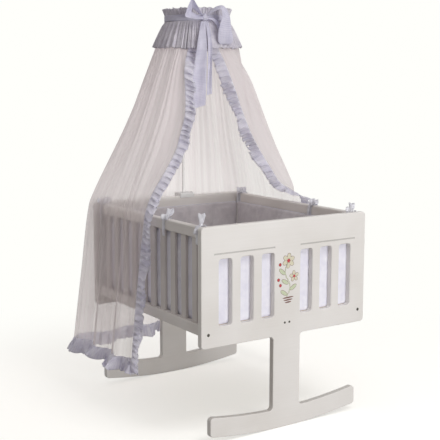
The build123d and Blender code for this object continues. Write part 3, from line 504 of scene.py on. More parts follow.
def welt(name, line, diameter, material, body):
    """A corded welt along a closed line of points."""
    curve = bpy.data.curves.new(name, "CURVE")
    curve.dimensions = "3D"
    curve.bevel_depth = diameter / 2
    curve.bevel_resolution = 3
    spline = curve.splines.new("POLY")
    spline.points.add(len(line) - 1)
    for point, place in zip(spline.points, line):
        point.co = (*place, 1)
    spline.use_cyclic_u = True
    shape = bpy.data.objects.new(name + "_line", curve)
    mesh = bpy.data.meshes.new_from_object(shape)
    bpy.data.objects.remove(shape)
    if not mesh.uv_layers:
        mesh.uv_layers.new()
    mesh.uv_layers[0].name = "cloth"
    mesh.materials.append(material)
    mesh.polygons.foreach_set("use_smooth", [True] * len(mesh.polygons))
    piece = bpy.data.objects.new(name, mesh)
    scene.collection.objects.link(piece)
    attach(piece, body)
    return piece


# Bumpers, in the space between the bed and the boards or slats
bed_floor = 0.4413
bumper_top = 0.7675
bumper_height = bumper_top - bed_floor
frame_shift = -0.0345
slot_middles = (0.091, 0.187, 0.283)
slot_half_width = 0.029
slat_pitch = 0.07664
# Where a slot or a gap between slats opens and closes again as the height grows, and a gap beside a slat
slot_opens, slot_closes = (0.441, 0.453), (0.676, 0.688)
gap_opens, gap_closes = (0.45, 0.46), (0.748, 0.758)
gap_clears = (0.0195, 0.0225)
end_face = 0.4047
side_face = 0.3417
side_length = 0.7728
# A pad's blank: its grid and sewn channels, its depth, its gaps at the ends and below, and its inner limit
pad_cell, pad_rows, pad_channels = 0.008, 38, 5
pad_depth, pad_trim, pad_lift, pad_inwards = 0.010, 0.003, 0.002, 0.0178
# How it is blown up: the pressure, the growth of its cloth and the farthest move
pad_puff = (5.0, 0.05, 0.012)
mattress_puff = (1.5, 0.01, 0.006)
welt_diameter, mattress_welt_diameter = 0.004, 0.0045


def step_between(low, high, value):
    """Eases from 0 to 1 as a value goes from low to high."""
    t = min(max((value - low) / (high - low), 0), 1)
    return t * t * (3 - 2 * t)


def slot_window(across, height):
    """1 inside the end boards' slots, 0 on their wood, eased over a few millimetres."""
    near = min(abs(abs(across) - middle) for middle in slot_middles)
    level = step_between(*slot_opens, height) * (1 - step_between(*slot_closes, height))
    return (1 - step_between(slot_half_width - 0.010, slot_half_width - 0.001, near)) * level


def gap_window(along, height):
    """1 between two slats, 0 behind a slat."""
    off = abs((along / slat_pitch) % 1 - 0.5) * slat_pitch
    clear = 1 - step_between(*gap_clears, off)
    return clear * step_between(*gap_opens, height) * (1 - step_between(*gap_closes, height))


def bumper(name, node_name, length, place, window, out_free, out_open, seed):
    """A quilted pad with upright channels, which reaches outwards to the wood, and farther in the gaps."""
    columns = int(length / pad_cell / (2 * pad_channels)) * 2 * pad_channels
    pad_length, pad_height = length - 2 * pad_trim, bumper_height - 2 * pad_lift
    points, faces, number, rim = blank(pad_length, pad_height, columns, pad_rows, pad_depth)
    flat = list(points)
    channel = columns // pad_channels
    seams = [(i, j) for i in range(channel, columns, channel) for j in range(pad_rows + 1)]
    sewn = [number(i, j, side) for side in (0, 1) for i, j in rim + seams]
    blown = puffed(points, faces, sorted(set(sewn)), *pad_puff)
    shaped = []
    for n, (along, up, through) in enumerate(blown):
        height = bed_floor + pad_lift + up
        rim_ease = min(up, pad_height - up, length / 2 - pad_trim - abs(along)) / 0.03
        rim_ease = min(max(rim_ease, 0), 1)
        crease = rough(along * 34 + seed, height * 5, seed) + 0.6 * rough(along * 70, height * 14, seed + 3)
        if n < len(points) // 2:
            # The outer side
            open_share = window(along, height)
            reach = out_free + (out_open - out_free) * open_share * (0.75 + 0.35 * crease)
            if through < 0:
                through = max(through, -reach)
            if open_share > 0:
                through = min(through, -reach * 0.85 * open_share * min(rim_ease * 3, 1))
        else:
            place_in_channel = (along / pad_length + 0.5) * pad_channels % 1
            crown = (4 * place_in_channel * (1 - place_in_channel)) ** 0.6
            least = pad_depth + 0.006 * crown * rim_ease
            through = max(through, least) + 0.0012 * crease * rim_ease
            through = min(through, pad_inwards)
        shaped.append((along, up + pad_lift, through))
    piece = pad(name, shaped, faces, flat, place, bumper_cotton, bumper_lining)
    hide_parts(node_name)
    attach(piece, "cradle")
    rim_line = [place(*shaped[number(i, j, 0)][:2], 0.0022) for i, j in rim]
    welt(name + "_welt", rim_line, welt_diameter, welt_cotton, "cradle")


def end_place(side):
    """Places of a pad at an end board: along it, up it, and inwards from its outer face."""
    return lambda along, up, inwards: (along, frame_shift + side * (end_face - inwards), bed_floor + up)


def side_place(side):
    """Places of a pad at a barred side, in the same way."""
    return lambda along, up, inwards: (side * (side_face - inwards), frame_shift + along, bed_floor + up)


bumper("near_pad", "near_bumper", 2 * side_face, end_place(-1), slot_window, 0.0, 0.009, 2.0)
bumper("far_pad", "far_bumper", 2 * side_face, end_place(1), slot_window, 0.0, 0.010, 5.0)
bumper("left_pad", "left_bumper", side_length, side_place(-1), gap_window, 0.0086, 0.0098, 8.0)
bumper("right_pad", "right_bumper", side_length, side_place(1), gap_window, 0.0086, 0.0098, 11.0)

# Mattress: a boxed case with a welt along its upper and lower edges
mattress_half_width, mattress_half_length, mattress_thickness = 0.3224, 0.3854, 0.070
mattress_corner = 0.032
mattress_columns, mattress_rows = 74, 62


def mattress_plan(along, across):
    """A place of the blank drawn into the mattress's plan, whose corners are round."""
    x = across * mattress_half_width
    y = along * mattress_half_length
    dx = abs(x) - (mattress_half_width - mattress_corner)
    dy = abs(y) - (mattress_half_length - mattress_corner)
    if dx > 0 and dy > 0:
        shrink = max(dx, dy) / (dx * dx + dy * dy) ** 0.5
        x = (abs(x) - dx + dx * shrink) * (1 if x > 0 else -1)
        y = (abs(y) - dy + dy * shrink) * (1 if y > 0 else -1)
    return x, y


def mattress_place(x, y, z):
    """A point of the mattress set on the bed."""
    return x, y + frame_shift, bed_floor + z


flat_points, mattress_faces, mattress_number, mattress_rim = blank(2, 2, mattress_columns, mattress_rows, 1)
mattress_start = []
for along, up, through in flat_points:
    x, y = mattress_plan(along, up - 1)
    mattress_start.append((x, y, 0.003 + (mattress_thickness - 0.009) * through))
mattress_sewn = [mattress_number(i, j, side) for side in (0, 1) for i, j in mattress_rim]
mattress_blown = puffed(mattress_start, mattress_faces, sorted(set(mattress_sewn)), *mattress_puff)
mattress_points = []
for n, (start, blown) in enumerate(zip(mattress_start, mattress_blown)):
    inset = min(mattress_half_width - abs(start[0]), mattress_half_length - abs(start[1]))
    crown = 0.005 * step_between(0, 0.05, inset)
    if n >= len(mattress_start) // 2:
        height = max(blown.z, start[2] + crown) + 0.0008 * rough(start[0] * 14, start[1] * 14, 3)
        height = min(height, mattress_thickness)
    else:
        height = 0.0005 + 0.002 * (1 - step_between(0, 0.02, inset))
    mattress_points.append((start[0], start[1], height))
mattress_flat = [(p[1], p[0], p[2]) for p in mattress_start]
mattress_looks = (mattress_faces, mattress_flat, mattress_place, mattress_cotton)
mattress_piece = pad("mattress_case", mattress_points, *mattress_looks)
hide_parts("mattress")
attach(mattress_piece, "cradle")
for welt_name, side, height in (("mattress_upper_welt", 1, 0.064), ("mattress_lower_welt", 0, 0.0035)):
    line = [mattress_place(*mattress_start[mattress_number(i, j, side)][:2], height) for i, j in mattress_rim]
    welt(welt_name, line, mattress_welt_diameter, mattress_cotton, "cradle")

# The canopy's plan, repeated from the part's source, in metres
ring_centre = Vector((0.073, 0.287))
ring_height = 1.585
collar_hem = 1.465
mid_height = 1.14
rail_crossing = 0.813
low_height = 0.52
net_hem = 0.225
# Where the drop passes the rails and ends at the hem: to the side, at the back, and the back's bulge
rail_side_x, rail_back_y, rail_bulge = 0.397, 0.4055, 0.046
hem_side_x, hem_back_y, hem_bulge, hem_flare = 0.44, 0.4175, 0.014, 0.016
rail_edge_y = (-0.076, -0.042)
low_edge_y = (-0.046, 0.010)
hem_edge_y = (-0.030, 0.092)
edge_angles = (226, 266)
side_folds = 6
back_folds = 9
fold_counts = (side_folds, back_folds, side_folds)
net_thickness = 1.2 * mm
net_ease = 2 * mm
mid_draw = 0.05
hoop_radius = 0.1273
collar_hem_radius = 0.178
band_half_height = 0.012


def turned(radius, angle):
    """A point at a radius from the ring's centre, at an angle in degrees."""
    return ring_centre + Vector((cos(radians(angle)), sin(radians(angle)))) * radius


def spread(corner_values, counts):
    """The corners' values with evenly spaced ones between, as many steps as the counts say."""
    values = [corner_values[0]]
    for start, stop, count in zip(corner_values, corner_values[1:], counts):
        values += [start + (stop - start) * n / count for n in range(1, count + 1)]
    return values


def plan_by_sides(side_x, back_y, bulge, flare, edge_y):
    """A plan over the two rails and the far board, which starts and ends at the edges' own Y."""
    corner_x, corner_y = side_x + flare, back_y + flare
    xs = spread((-side_x, -corner_x, corner_x, side_x), fold_counts)
    ys = spread((edge_y[0], corner_y, corner_y, edge_y[1]), fold_counts)
    for n in range(back_folds + 1):
        share = n / back_folds
        ys[side_folds + n] += bulge * 4 * share * (1 - share)
    return [Vector(point) for point in zip(xs, ys)]


corner_angles = [
    degrees(atan2(rail_back_y - ring_centre.y, side * rail_side_x - ring_centre.x)) for side in (-1, 1)
]
net_angles = spread((edge_angles[0], *corner_angles, edge_angles[1] - 360), fold_counts)
widest_step = (corner_angles[1] - edge_angles[1] + 360) / side_folds
net_top_radius = (hoop_radius + net_ease + net_thickness) / cos(radians(widest_step / 2))
top_plan = [turned(net_top_radius, angle) for angle in net_angles]
collar_plan = [turned(collar_hem_radius, angle) for angle in net_angles]
rail_plan = plan_by_sides(rail_side_x, rail_back_y, rail_bulge, 0, rail_edge_y)
hem_plan = plan_by_sides(hem_side_x, hem_back_y, hem_bulge, hem_flare, hem_edge_y)
mid_share = (collar_hem - mid_height) / (collar_hem - rail_crossing)
mid_plan = [a + (b - a) * mid_share for a, b in zip(collar_plan, rail_plan)]
mid_plan = [point + (ring_centre - point) * mid_draw for point in mid_plan]
low_share = (rail_crossing - low_height) / (rail_crossing - net_hem)
low_plan = [a + (b - a) * low_share for a, b in zip(rail_plan, hem_plan)]
for end in (0, -1):
    low_plan[end].y = low_edge_y[end]
# Each level: its height, its plan, the swing of its main folds and of its small gathers
net_levels = [
    (ring_height, top_plan, 0.002, 0.0008),
    (ring_height - band_half_height, top_plan, 0.002, 0.0008),
    (collar_hem, collar_plan, 0.004, 0.0015),
    (mid_height, mid_plan, 0.012, 0.003),
    (rail_crossing, rail_plan, 0.004, 0.002),
    (low_height, low_plan, 0.013, 0.0035),
    (net_hem, hem_plan, 0.017, 0.005),
]
collar_level, rail_level = 2, 4
side_turns = [(-1) ** n for n in range(side_folds)]
back_turns = [(-1) ** n for n in range(back_folds)]
fold_sides = side_turns[::-1] + back_turns + side_turns
fold_count = len(fold_sides)
columns_per_fold = 22
net_rows = 64


def curved(here, leaving, there, arriving, t):
    """The value at t from 0 to 1 on a smooth curve between two values, with a slope at each."""
    return (
        here * (2 * t**3 - 3 * t**2 + 1) + leaving * (t**3 - 2 * t**2 + t)
        + there * (3 * t**2 - 2 * t**3) + arriving * (t**3 - t**2)
    )


def smooth_between(values, place):
    """The value at a place along evenly numbered values, on a smooth curve through them."""
    last = len(values) - 1
    n = min(int(place), last - 1)
    before, here, there, after = values[max(n - 1, 0)], values[n], values[n + 1], values[min(n + 2, last)]
    return curved(here, (there - before) / 2, there, (after - here) / 2, place - n)


def at_height(height, values):
    """Eases a value per level to a height, so that the cloth hangs in a smooth line."""
    heights = [level[0] for level in net_levels]
    for n in range(len(heights) - 1):
        if height >= heights[n + 1] - 1e-9:
            break
    span = heights[n] - heights[n + 1]
    t = (heights[n] - height) / span

    def slope(k, falling):
        if k in (0, len(heights) - 1):
            return (values[n + 1] - values[n]) / span
        above = (values[k] - values[k - 1]) / (heights[k - 1] - heights[k])
        below = (values[k + 1] - values[k]) / (heights[k] - heights[k + 1])
        if k == rail_level:
            # Where it lies over the rail the cloth turns in a short bend
            return above * 0.8 + below * 0.2 if falling else above * 0.2 + below * 0.8
        return (above + below) / 2 if k > collar_level else below

    if n < collar_level:
        return values[n] + (values[n + 1] - values[n]) * t
    return curved(values[n], slope(n, False) * span, values[n + 1], slope(n + 1, True) * span, t)


# To the right as the camera sees it: the way in which the net's front edges swing
edge_swing = Vector((0.832, -0.555))


def drawn_forward(height):
    """How far the left edge bows forward at a height."""
    return 0.052 * step_between(0.83, 1.07, height) * (1 - step_between(1.16, 1.42, height))


def sagged_back(height):
    """How far the right edge sags back at a height."""
    return 0.054 * step_between(0.822, 0.90, height) * (1 - step_between(0.98, 1.44, height))


def puffed_out(height):
    """How far the cloth behind the right edge stands out at a height."""
    return 0.034 * step_between(0.76, 0.88, height) * (1 - step_between(1.30, 1.46, height))


# The shares of those swings that the stations beside an edge take
forward_share, puff_share = 0.45, 0.6


def net_row(height):
    """One level line of the net with its folds, as points and outward directions."""
    height = max(height, net_hem)
    stations = [at_height(height, [level[1][n] for level in net_levels]) for n in range(fold_count + 1)]
    stations[0] = stations[0] + edge_swing * drawn_forward(height)
    stations[1] = stations[1] + edge_swing * drawn_forward(height) * forward_share
    stations[-1] = stations[-1] - edge_swing * sagged_back(height)
    stations[-2] = stations[-2] + edge_swing * puffed_out(height)
    stations[-3] = stations[-3] + edge_swing * puffed_out(height) * puff_share
    swing = at_height(height, [level[2] for level in net_levels])
    gather = at_height(height, [level[3] for level in net_levels])
    base = [smooth_between(stations, n / columns_per_fold) for n in range(fold_count * columns_per_fold + 1)]
    points, outs = [], []
    for n, here in enumerate(base):
        run = (base[min(n + 1, len(base) - 1)] - base[max(n - 1, 0)]).normalized()
        out = Vector((-run.y, run.x))
        place = n / columns_per_fold
        fold = min(int(place), fold_count - 1)
        t = place - fold
        main = swing * fold_sides[fold] * 4 * t * (1 - t)
        wander = 0.6 * rough(place * 0.8, height * 1.5)
        depth = 0.7 + 0.6 * rough(place * 1.7, 3.1, height * 0.7)
        small = gather * sin(tau * (2.7 * place + wander)) * depth
        edge_ease = min(place, fold_count - place, 1)
        points.append(here + out * (main + small * edge_ease))
        outs.append(out)
    return points, outs


# Fabrics of the canopy: each with its material, its thickness and its slot
net_fabric = (net_voile, 0, "sheer_net")
collar_fabric = (collar_gingham, 1.0 * mm, "fine_gingham_cotton")
frill_fabric = (frill_gingham, 0.7 * mm, "fine_gingham_cotton")
bow_fabric = (bow_gingham, 0.8 * mm, "lavender_gingham_ribbon")


def canopy_sheet(name, node_name, rows, flat, closed, fabric):
    """A sheet of the canopy from its rows of points, in place of a node where one is named."""
    material, thickness, slot = fabric
    patches = [(rows, *flat, closed)]
    piece = cloth(name, patches, material, thickness, "canopy", slot)
    if node_name:
        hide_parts(node_name)


net_lines = []
for n in range(net_rows + 1):
    height = ring_height + (net_hem - ring_height) * n / net_rows
    net_lines.append([(point.x, point.y, height) for point in net_row(height)[0]])
canopy_sheet("net", "canopy_net", net_lines, (2.25, 1.42), False, net_fabric)

# Collar: a gathered strip with a ragged heading above the ribbon and a flared skirt below
collar_top = 1.625
ribbon_radius = 0.1381
skirt_radius = 0.1905
band_top, band_foot = ring_height + band_half_height, ring_height - band_half_height
band_radius = 0.1414


def collar_point(down, round_share):
    """A point of the collar: a heading above the band, creases under it and the skirt below it."""
    height = collar_top + (collar_hem - collar_top) * down
    turn = tau * round_share
    way = rough(cos(turn) * 3, sin(turn) * 3)
    fine = rough(cos(turn) * 21, sin(turn) * 21, height * 3)
    crimp = (abs(sin(17 * turn + way * 5 + height * 8 * way)) - 0.6) * 1.3
    pleat = crimp + 0.6 * sin(43 * turn + way * 9) + 0.6 * fine
    if height > band_top:
        open_share = (height - band_top) / (collar_top - band_top)
        radius = ribbon_radius + 0.0075 * open_share + 0.004 * pleat * (0.4 + open_share)
        lift = 0.009 * open_share * rough(cos(turn) * 9, sin(turn) * 9, 2)
    elif height > band_foot:
        radius = ribbon_radius + 0.001 * pleat - 0.0008
        lift = 0
    else:
        drop = (band_foot - height) / (band_foot - collar_hem)
        flare = (skirt_radius - ribbon_radius) * drop ** 0.85
        radius = ribbon_radius + flare + 0.0054 * pleat * (0.6 + 0.4 * drop) * min(drop * 6, 1)
        # The skirt dips in front
        dip = 0.009 * drop * max(cos(turn - radians(238)), 0)
        lift = 0.005 * drop * (rough(cos(turn) * 5, sin(turn) * 5, 5) + 0.5 * pleat) - dip
    return (*turned(radius, 360 * round_share), height + lift)


def band_point(down, round_share):
    """A point of the ribbon round the collar, with soft creases along it."""
    turn = tau * round_share
    wave = 0.0006 * sin(3 * tau * down + 2 * rough(cos(turn) * 4, sin(turn) * 4))
    crease = wave + 0.0005 * rough(cos(turn) * 14, sin(turn) * 14, down)
    return (*turned(band_radius + crease, 360 * round_share), band_top - 2 * band_half_height * down)


canopy_sheet(
    "collar", "canopy_collar", grid(34, 640, collar_point, closed=True), (1.25, 0.175), True,
    collar_fabric,
)
canopy_sheet(
    "ribbon_band", "collar_ribbon", grid(8, 360, band_point, closed=True), (0.91, 0.024), True,
    bow_fabric,
)


def running_length(points):
    """The length gone at each point of a line."""
    run = [0]
    for a, b in zip(points, points[1:]):
        run.append(run[-1] + (b - a).length)
    return run


# Frills: gathered strips, sewn flat along one side and waving along the other
def frill(name, node_name, sewn, aheads, outs, width, pitch, wave, facing, droop, seed, flat):
    """A gathered strip that fans out from its sewn line, turned by as many degrees as facing gives."""
    rows_across = 9
    run = running_length(sewn)
    rows = []
    for r in range(rows_across + 1):
        w = r / rows_across
        line = []
        for n, point in enumerate(sewn):
            s = run[n]
            along = (sewn[min(n + 1, len(sewn) - 1)] - sewn[max(n - 1, 0)]).normalized()
            turn = radians(facing(point.z) + 30 * rough(s * 10, seed, 1))
            reach_way = aheads[n] * cos(turn) + outs[n] * sin(turn)
            swing_way = outs[n] * cos(turn) - aheads[n] * sin(turn)
            beat = tau * s / pitch + 5.5 * rough(s * 9, seed) + 1.4 * w * rough(s * 22, seed, 2)
            size = 1 + 1.1 * rough(s * 15, seed, 4)
            puff = wave * size * w ** 0.75 * (sin(beat) + 0.28 * sin(2.3 * beat + seed))
            lean = wave * 0.85 * size * w * cos(beat)
            reach = width * w * (0.97 + 0.42 * rough(s * 14, seed, 6) - 0.08 * w * sin(beat) ** 2)
            sag = Vector((0, 0, droop * w * w))
            line.append(point + reach_way * reach + swing_way * puff + along * lean - sag)
        rows.append(line)
    canopy_sheet(name, node_name, rows, flat, False, frill_fabric)


def resampled(points, count):
    """Points evenly spaced along a line of points."""
    run = running_length(points)
    spaced, n = [], 0
    for k in range(count + 1):
        reach = run[-1] * k / count
        while n < len(points) - 2 and run[n + 1] < reach:
            n += 1
        share = (reach - run[n]) / max(run[n + 1] - run[n], 1e-9)
        spaced.append(points[n].lerp(points[n + 1], min(share, 1)))
    return spaced


def left_facing(height):
    """Turned in towards the opening, less so where the rail lies behind it, also with the canopy raised."""
    beside_rail = 16 * step_between(0.59, 0.64, height) + 14 * step_between(0.70, 0.765, height)
    return -40 + beside_rail - 30 * step_between(0.83, 0.90, height)


def right_facing(height):
    """Folded back into the opening above the rail, and outwards below it."""
    return 30 - 68 * step_between(0.83, 0.90, height)


def hem_facing(height):
    """Turned a little outwards all round."""
    return 20


# A frill's width, the pitch of its gathers and their wave, on the edges and on the hem
edge_frill_size = (0.049, 0.027, 0.0112)
hem_frill_size = (0.0605, 0.035, 0.0160)
frill_top, frill_foot = collar_hem - 0.4 * mm, net_hem - 0.05
edge_droop = 0.012
edge_steps, hem_steps, neighbour_step = 520, 1100, 12
for edge, edge_name, node_name, facing, seed, flat in (
    (0, "left_edge_ruffle", "left_edge_frill", left_facing, 1.3, (2.05, 0.05)),
    (-1, "right_edge_ruffle", "right_edge_frill", right_facing, 7.7, (2.3, 0.05)),
):
    line, aheads, outs = [], [], []
    for n in range(edge_steps + 1):
        height = frill_top + (frill_foot - frill_top) * n / edge_steps
        points, normals = net_row(height)
        here = points[edge]
        neighbour = points[neighbour_step] if edge == 0 else points[-1 - neighbour_step]
        ahead = (here - neighbour).normalized().to_3d()
        line.append(Vector((here.x, here.y, height)) + ahead * (0.5 * mm))
        aheads.append(ahead)
        outs.append(normals[edge].to_3d())
    frill(edge_name, node_name, line, aheads, outs, *edge_frill_size, facing, edge_droop, seed, flat)

hem_points, hem_outs = net_row(net_hem)
hem_line = resampled([Vector((p.x, p.y, net_hem - 0.6 * mm)) for p in hem_points], hem_steps)
hem_ways = [out.normalized() for out in resampled([out.to_3d() for out in hem_outs], hem_steps)]
downwards = [Vector((0, 0, -1))] * len(hem_line)
frill(
    "hem_ruffle", "hem_frill", hem_line, downwards, hem_ways,
    *hem_frill_size, hem_facing, 0, 4.2, (3.65, 0.062),
)

# Bow: each loop is a ribbon between a front edge and a back edge, both closed curves through the knot
bow_angle = 250
outward = Vector((cos(radians(bow_angle)), sin(radians(bow_angle)), 0))
sideways = Vector((-outward.y, outward.x, 0))
knot_reach = 0.1501
knot = Vector((ring_centre.x, ring_centre.y, ring_height)) + outward * knot_reach


def bow_place(point):
    """A point given in millimetres to the right of the knot, above it and in front of it."""
    right, above, front = point
    return knot + (sideways * right + outward * front) * mm + Vector((0, 0, above * mm))


def bow_loop_rows(front_edge, back_edge, steps, across):
    """Rows of points along a loop's ribbon, from its front edge to its back edge."""
    front = [bow_place(p) for p in front_edge]
    back = [bow_place(p) for p in back_edge]

    def point(w, t):
        place = (len(front) - 1) * t
        belly = outward * 0.002 * sin(pi * w) + Vector((0, 0, 0.0015)) * sin(9 * t + 5 * w)
        return smooth_between(front, place).lerp(smooth_between(back, place), w) + belly * sin(pi * t)

    return grid(across, steps, point)


left_front = [
    (-5, -5, 6), (-30, -9, 22), (-62, -8, 34), (-90, 0, 36), (-84, 28, 34),
    (-60, 72, 28), (-40, 50, 26), (-22, 22, 20), (-5, 5, 8),
]
left_back = [
    (-5, -2, 2), (-24, 6, 0), (-42, 14, -3), (-54, 22, -5), (-53, 30, -6),
    (-49, 38, -7), (-36, 27, -5), (-20, 13, -1), (-5, 3, 2),
]
right_front = [
    (4, 4, 8), (22, 16, 22), (44, 28, 32), (62, 30, 38), (64, 0, 42), (50, -50, 40),
    (48, -95, 36), (62, -112, 26), (58, -70, 14), (40, -20, 8), (5, -4, 4),
]
right_back = [
    (4, 6, 2), (22, 26, 4), (48, 44, 6), (78, 46, 12), (100, 10, 22), (108, -45, 26),
    (116, -92, 24), (100, -108, 14), (88, -60, 4), (50, -10, 0), (5, -2, 2),
]
for loop_name, front_edge, back_edge, steps, across, flat, area in (
    ("bow_left_loop", left_front, left_back, 72, 10, (0.3, 0.06), 0.0066),
    ("bow_right_loop", right_front, right_back, 88, 12, (0.42, 0.06), 0.0139),
):
    rows = bow_loop_rows(front_edge, back_edge, steps, across)
    canopy_sheet(loop_name, None, rows, flat, False, bow_fabric)

bpy.ops.object.select_all(action="DESELECT")
bpy.ops.mesh.primitive_uv_sphere_add(segments=40, ring_count=24, radius=0.5, location=(0, 0, 0))
knot_piece = bpy.context.object
knot_piece.name = "bow_knot"
knot_size = (30, 17, 29)
turn_to_bow = Matrix((sideways, outward, Vector((0, 0, 1)))).transposed()
for vertex in knot_piece.data.vertices:
    p = vertex.co
    wrinkle = 1 + 0.09 * sin(9 * atan2(p.z, p.x) + 3 * p.y) + 0.08 * rough(p.x * 4, p.y * 4, p.z * 4)
    local = Vector((p.x * knot_size[0] * wrinkle, p.y * knot_size[1], p.z * knot_size[2] * wrinkle)) * mm
    vertex.co = knot + turn_to_bow @ local
knot_piece.data.uv_layers[0].name = "cloth"
for loop_uv in knot_piece.data.uv_layers[0].data:
    loop_uv.uv *= 0.08
bpy.ops.object.shade_smooth()
knot_piece.data.materials.append(bow_gingham)
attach(knot_piece, "canopy")
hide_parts("bow")


def ribbon_tail(name, node_name, centre_line, widths, fold, flat):
    """A hanging ribbon: centre points and widths in millimetres as for the bow, and a lengthwise fold."""
    places = [bow_place(p) for p in centre_line]

    def point(t, share):
        place = (len(places) - 1) * t
        width = smooth_between(widths, place) * mm
        w = share - 0.5
        crease = (abs(w) - 0.25) * fold * width + 0.0016 * sin(8 * t + 6 * w)
        # The lower end is cut aslant
        cut = Vector((0, 0, 0.3 * w * width * t ** 3))
        return smooth_between(places, place) + sideways * (w * width) + outward * crease + cut

    canopy_sheet(name, node_name, grid(90, 10, point), flat, False, bow_fabric)


long_centre = [
    (-8, -16, 4), (-16, -60, 30), (-24, -120, 50), (-30, -180, 52), (-34, -240, 50),
    (-38, -310, 54), (-40, -372, 50),
]
long_widths = (16, 30, 42, 52, 58, 60, 62)
short_centre = [(6, -16, 4), (10, -60, 30), (10, -120, 52), (9, -200, 54), (8, -270, 52), (8, -318, 52)]
short_widths = (12, 16, 18, 18, 20, 22)
ribbon_tail("bow_long_ribbon", "bow_long_tail", long_centre, long_widths, 0.22, (0.062, 0.385))
ribbon_tail("bow_short_ribbon", "bow_short_tail", short_centre, short_widths, 0.7, (0.026, 0.33))

# Rail bows: white satin ribbon round each top rail, tied on top with two soft loops and two ends
rail_middle_x, rail_low, rail_high, rail_half = 0.357, 0.764, 0.806, 0.015
tie_width, tie_ease = 0.015, 0.0012
knot_lift, knot_height, knot_radius = 0.0065, 0.013, 0.0072
loops_askew = 40
upwards, rail_way = Vector((0, 0, 1)), Vector((0, 1, 0))


def tie_wrap(centre, inwards, seed):
    """The ribbon's turn round the rail, narrower in its middle."""
    middle, half = (rail_low + rail_high) / 2, (rail_high - rail_low) / 2

    def point(s, t):
        across = (s - 0.5) * (tie_width - 0.002 * sin(pi * s))
        x, z = cos(tau * t), sin(tau * t)
        square = max(abs(x), abs(z)) ** -0.72
        lean = 0.003 * sin(tau * t + seed) + 0.0006 * rough(x * 5, z * 5, seed)
        spot = centre + inwards * (x * square * (rail_half + tie_ease))
        spot += upwards * (middle + z * square * (half + tie_ease))
        return spot + rail_way * (across + lean)

    return grid(3, 48, point, closed=True)


def tie_loop(knot_place, way, over, along, reach, twist, seed, belly_seed):
    """A soft loop out from the knot and back, with its two layers apart and a twist along the rail."""
    def point(s, t):
        across = s - 0.5
        width = 0.007 + 0.017 * sin(pi * t) ** 0.7
        forth = reach * sin(pi * t) * (1 - 0.08 * cos(tau * across))
        belly = 0.0115 * sin(tau * t) * (1 + 0.3 * rough(t * 5, across * 3, belly_seed))
        slide = across * width + 0.006 * twist * sin(pi * t) + 0.0015 * rough(t * 7, across * 4, seed)
        return knot_place + way * forth + over * belly + along * slide

    return grid(6, 32, point)


def tie_end(centre, inwards, direction, length, splay, seed):
    """A ribbon end that lies over the rail's edge and hangs down beside it."""
    def point(s, t):
        across = (s - 0.5) * 0.017
        over_edge = rail_half + 0.0055 + 0.003 * sin(5 * t + seed)
        outwards = direction * min(0.0045 + 0.016 * (t * 3) ** 0.8, over_edge)
        level = rail_high + 0.0045 - max(t - 0.28, 0) * length / 0.72
        curl = 0.0022 * sin(9 * t + seed + 30 * across)
        spot = centre + inwards * (outwards + curl * direction) + upwards * level
        return spot + rail_way * (across * (0.6 + 0.5 * t) + splay * t)

    return grid(4, 24, point)


def tie_knot(knot_place, inwards, seed):
    """The knot, as rings of folded ribbon from its foot to its top."""
    def point(s, t):
        turn = tau * t
        radius = 0.0002 + knot_radius * (1 - (2 * s - 1) ** 2) ** 0.5
        fold = 1 + 0.1 * sin(5 * turn + 4 * (s - 0.5) + seed)
        spot = knot_place + inwards * (cos(turn) * radius * fold)
        return spot + rail_way * (sin(turn) * radius * 0.9 * fold) + upwards * ((s - 0.5) * knot_height)

    return grid(8, 20, point, closed=True)


def rail_bow(name, node_name, side, y, inner_rise, outer_rise, twist, seed):
    """One tied ribbon. Its loops lie towards the bed and away from it, each with its own rise."""
    centre = Vector((side * rail_middle_x, y + frame_shift, 0))
    inwards = Vector((-side, 0, 0))
    knot_place = centre + upwards * (rail_high + knot_lift)
    patches = [(tie_wrap(centre, inwards, seed), 0.125, 0.015, True)]
    # The loops sit askew on the rail
    askew = radians(loops_askew * side)
    along = rail_way * cos(askew) + inwards * sin(askew)
    across = inwards * cos(askew) - rail_way * sin(askew)
    for direction, rise, reach in ((1, inner_rise, 0.043), (-1, outer_rise, 0.040)):
        level, steep = cos(radians(rise)), sin(radians(rise))
        way = (across * direction * level + upwards * steep).normalized()
        over = (upwards * level - across * direction * steep).normalized()
        loop = tie_loop(knot_place, way, over, along, reach, twist, seed, seed + direction)
        patches.append((loop, 0.09, 0.019, False))
    for direction, length, splay in ((1, 0.052, 0.010), (-1, 0.068, -0.006)):
        patches.append((tie_end(centre, inwards, direction, length, splay, seed), 0.08, 0.013, False))
    patches.append((tie_knot(knot_place, inwards, seed), 0.04, 0.013, True))
    piece = cloth(name, patches, satin_ribbon, 0.6 * mm, "cradle", "white_ribbon")
    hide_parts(node_name)


# Each pair of bows: its place along the rails, its twist, and its loops' rises (inner, outer) left and right
bow_pairs = (
    ("near", -0.381, 0.8, ((58, -38), (10, 30))),
    ("middle", -0.141, -0.5, ((30, 8), (24, 5))),
    ("far", 0.381, 0.4, ((12, 15), (20, 12))),
)
for number, (side, side_name) in enumerate(((-1, "left"), (1, "right"))):
    for n, (place_name, y, twist, rises) in enumerate(bow_pairs):
        bow_name = f"{side_name}_{place_name}_rail_bow"
        rail_bow(bow_name, f"{side_name}_bumper_ties", side, y, *rises[number], twist, 2.1 * n + side)

# Ornament on the near board: a plain flowering twig over three bars, printed in the same soft colours
board_face = -0.4645
print_spots = []


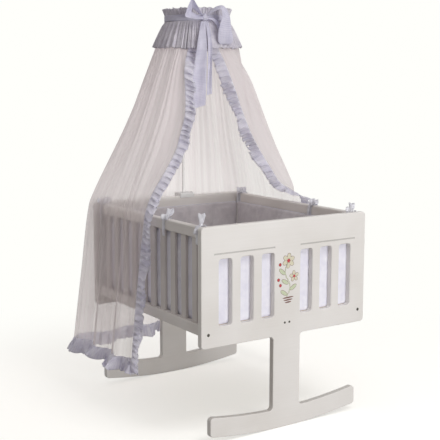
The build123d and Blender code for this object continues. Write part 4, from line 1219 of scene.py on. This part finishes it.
def printed_spot(x, z, half_width, half_height, turn, fill, rim=1.3 * mm):
    """An oval of ink with a thin brown line round it, each printed as its own thin layer."""
    for grow, height, ink in ((rim, 0.25 * mm, print_brown), (0, 0.45 * mm, fill)):
        if ink is fill or rim:
            bpy.ops.object.select_all(action="DESELECT")
            bpy.ops.mesh.primitive_circle_add(vertices=48, radius=1, fill_type="NGON", location=(0, 0, 0))
            spot = bpy.context.object
            bpy.ops.object.mode_set(mode="EDIT")
            bpy.ops.mesh.select_all(action="SELECT")
            bpy.ops.mesh.extrude_region_move(TRANSFORM_OT_translate={"value": (0, 0, 1)})
            bpy.ops.object.mode_set(mode="OBJECT")
            standing = Matrix.Translation((x, board_face, z)) @ Matrix.Rotation(pi / 2, 4, "X")
            shape = standing @ Matrix.Rotation(radians(turn), 4, "Z")
            spot.data.transform(shape @ Matrix.Diagonal((half_width + grow, half_height + grow, height, 1)))
            spot.data.materials.append(ink)
            print_spots.append(spot)


for n in range(9):
    bend = n * 0.75
    stem_place = (0.012 * sin(bend), 0.520 + 0.0145 * n)
    printed_spot(*stem_place, 0.0017, 0.0085, -20 * cos(bend), print_green, 0.5 * mm)
for x, z, turn in ((-0.017, 0.530, 148), (0.027, 0.548, 32), (-0.012, 0.572, 150), (-0.026, 0.612, 140)):
    printed_spot(x, z, 0.0165, 0.0068, turn, print_green)
for x, z, petals, reach in ((0.004, 0.652, 6, 0.0175), (0.031, 0.590, 5, 0.013)):
    for n in range(petals):
        turn = tau * n / petals + 0.4
        petal = (x + reach * cos(turn), z + reach * sin(turn), reach * 0.62, reach * 0.46)
        printed_spot(*petal, degrees(turn), print_cream)
    printed_spot(x, z, reach * 0.42, reach * 0.42, 0, print_red)
for x, z in ((-0.036, 0.640), (-0.043, 0.582), (-0.034, 0.560)):
    printed_spot(x, z, 0.0052, 0.0052, 0, print_red)
for z, half in ((0.510, 0.026), (0.501, 0.021), (0.492, 0.015)):
    printed_spot(0.003, z, half, 0.0027, 3, print_brown, 0)
bpy.ops.object.select_all(action="DESELECT")
for spot in print_spots:
    spot.select_set(True)
bpy.context.view_layer.objects.active = print_spots[0]
bpy.ops.object.join()
printed_twig = bpy.context.object
printed_twig.name = "printed_twig"
bpy.ops.object.mode_set(mode="EDIT")
bpy.ops.mesh.select_all(action="SELECT")
bpy.ops.mesh.normals_make_consistent(inside=False)
bpy.ops.object.mode_set(mode="OBJECT")
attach(printed_twig, "cradle")
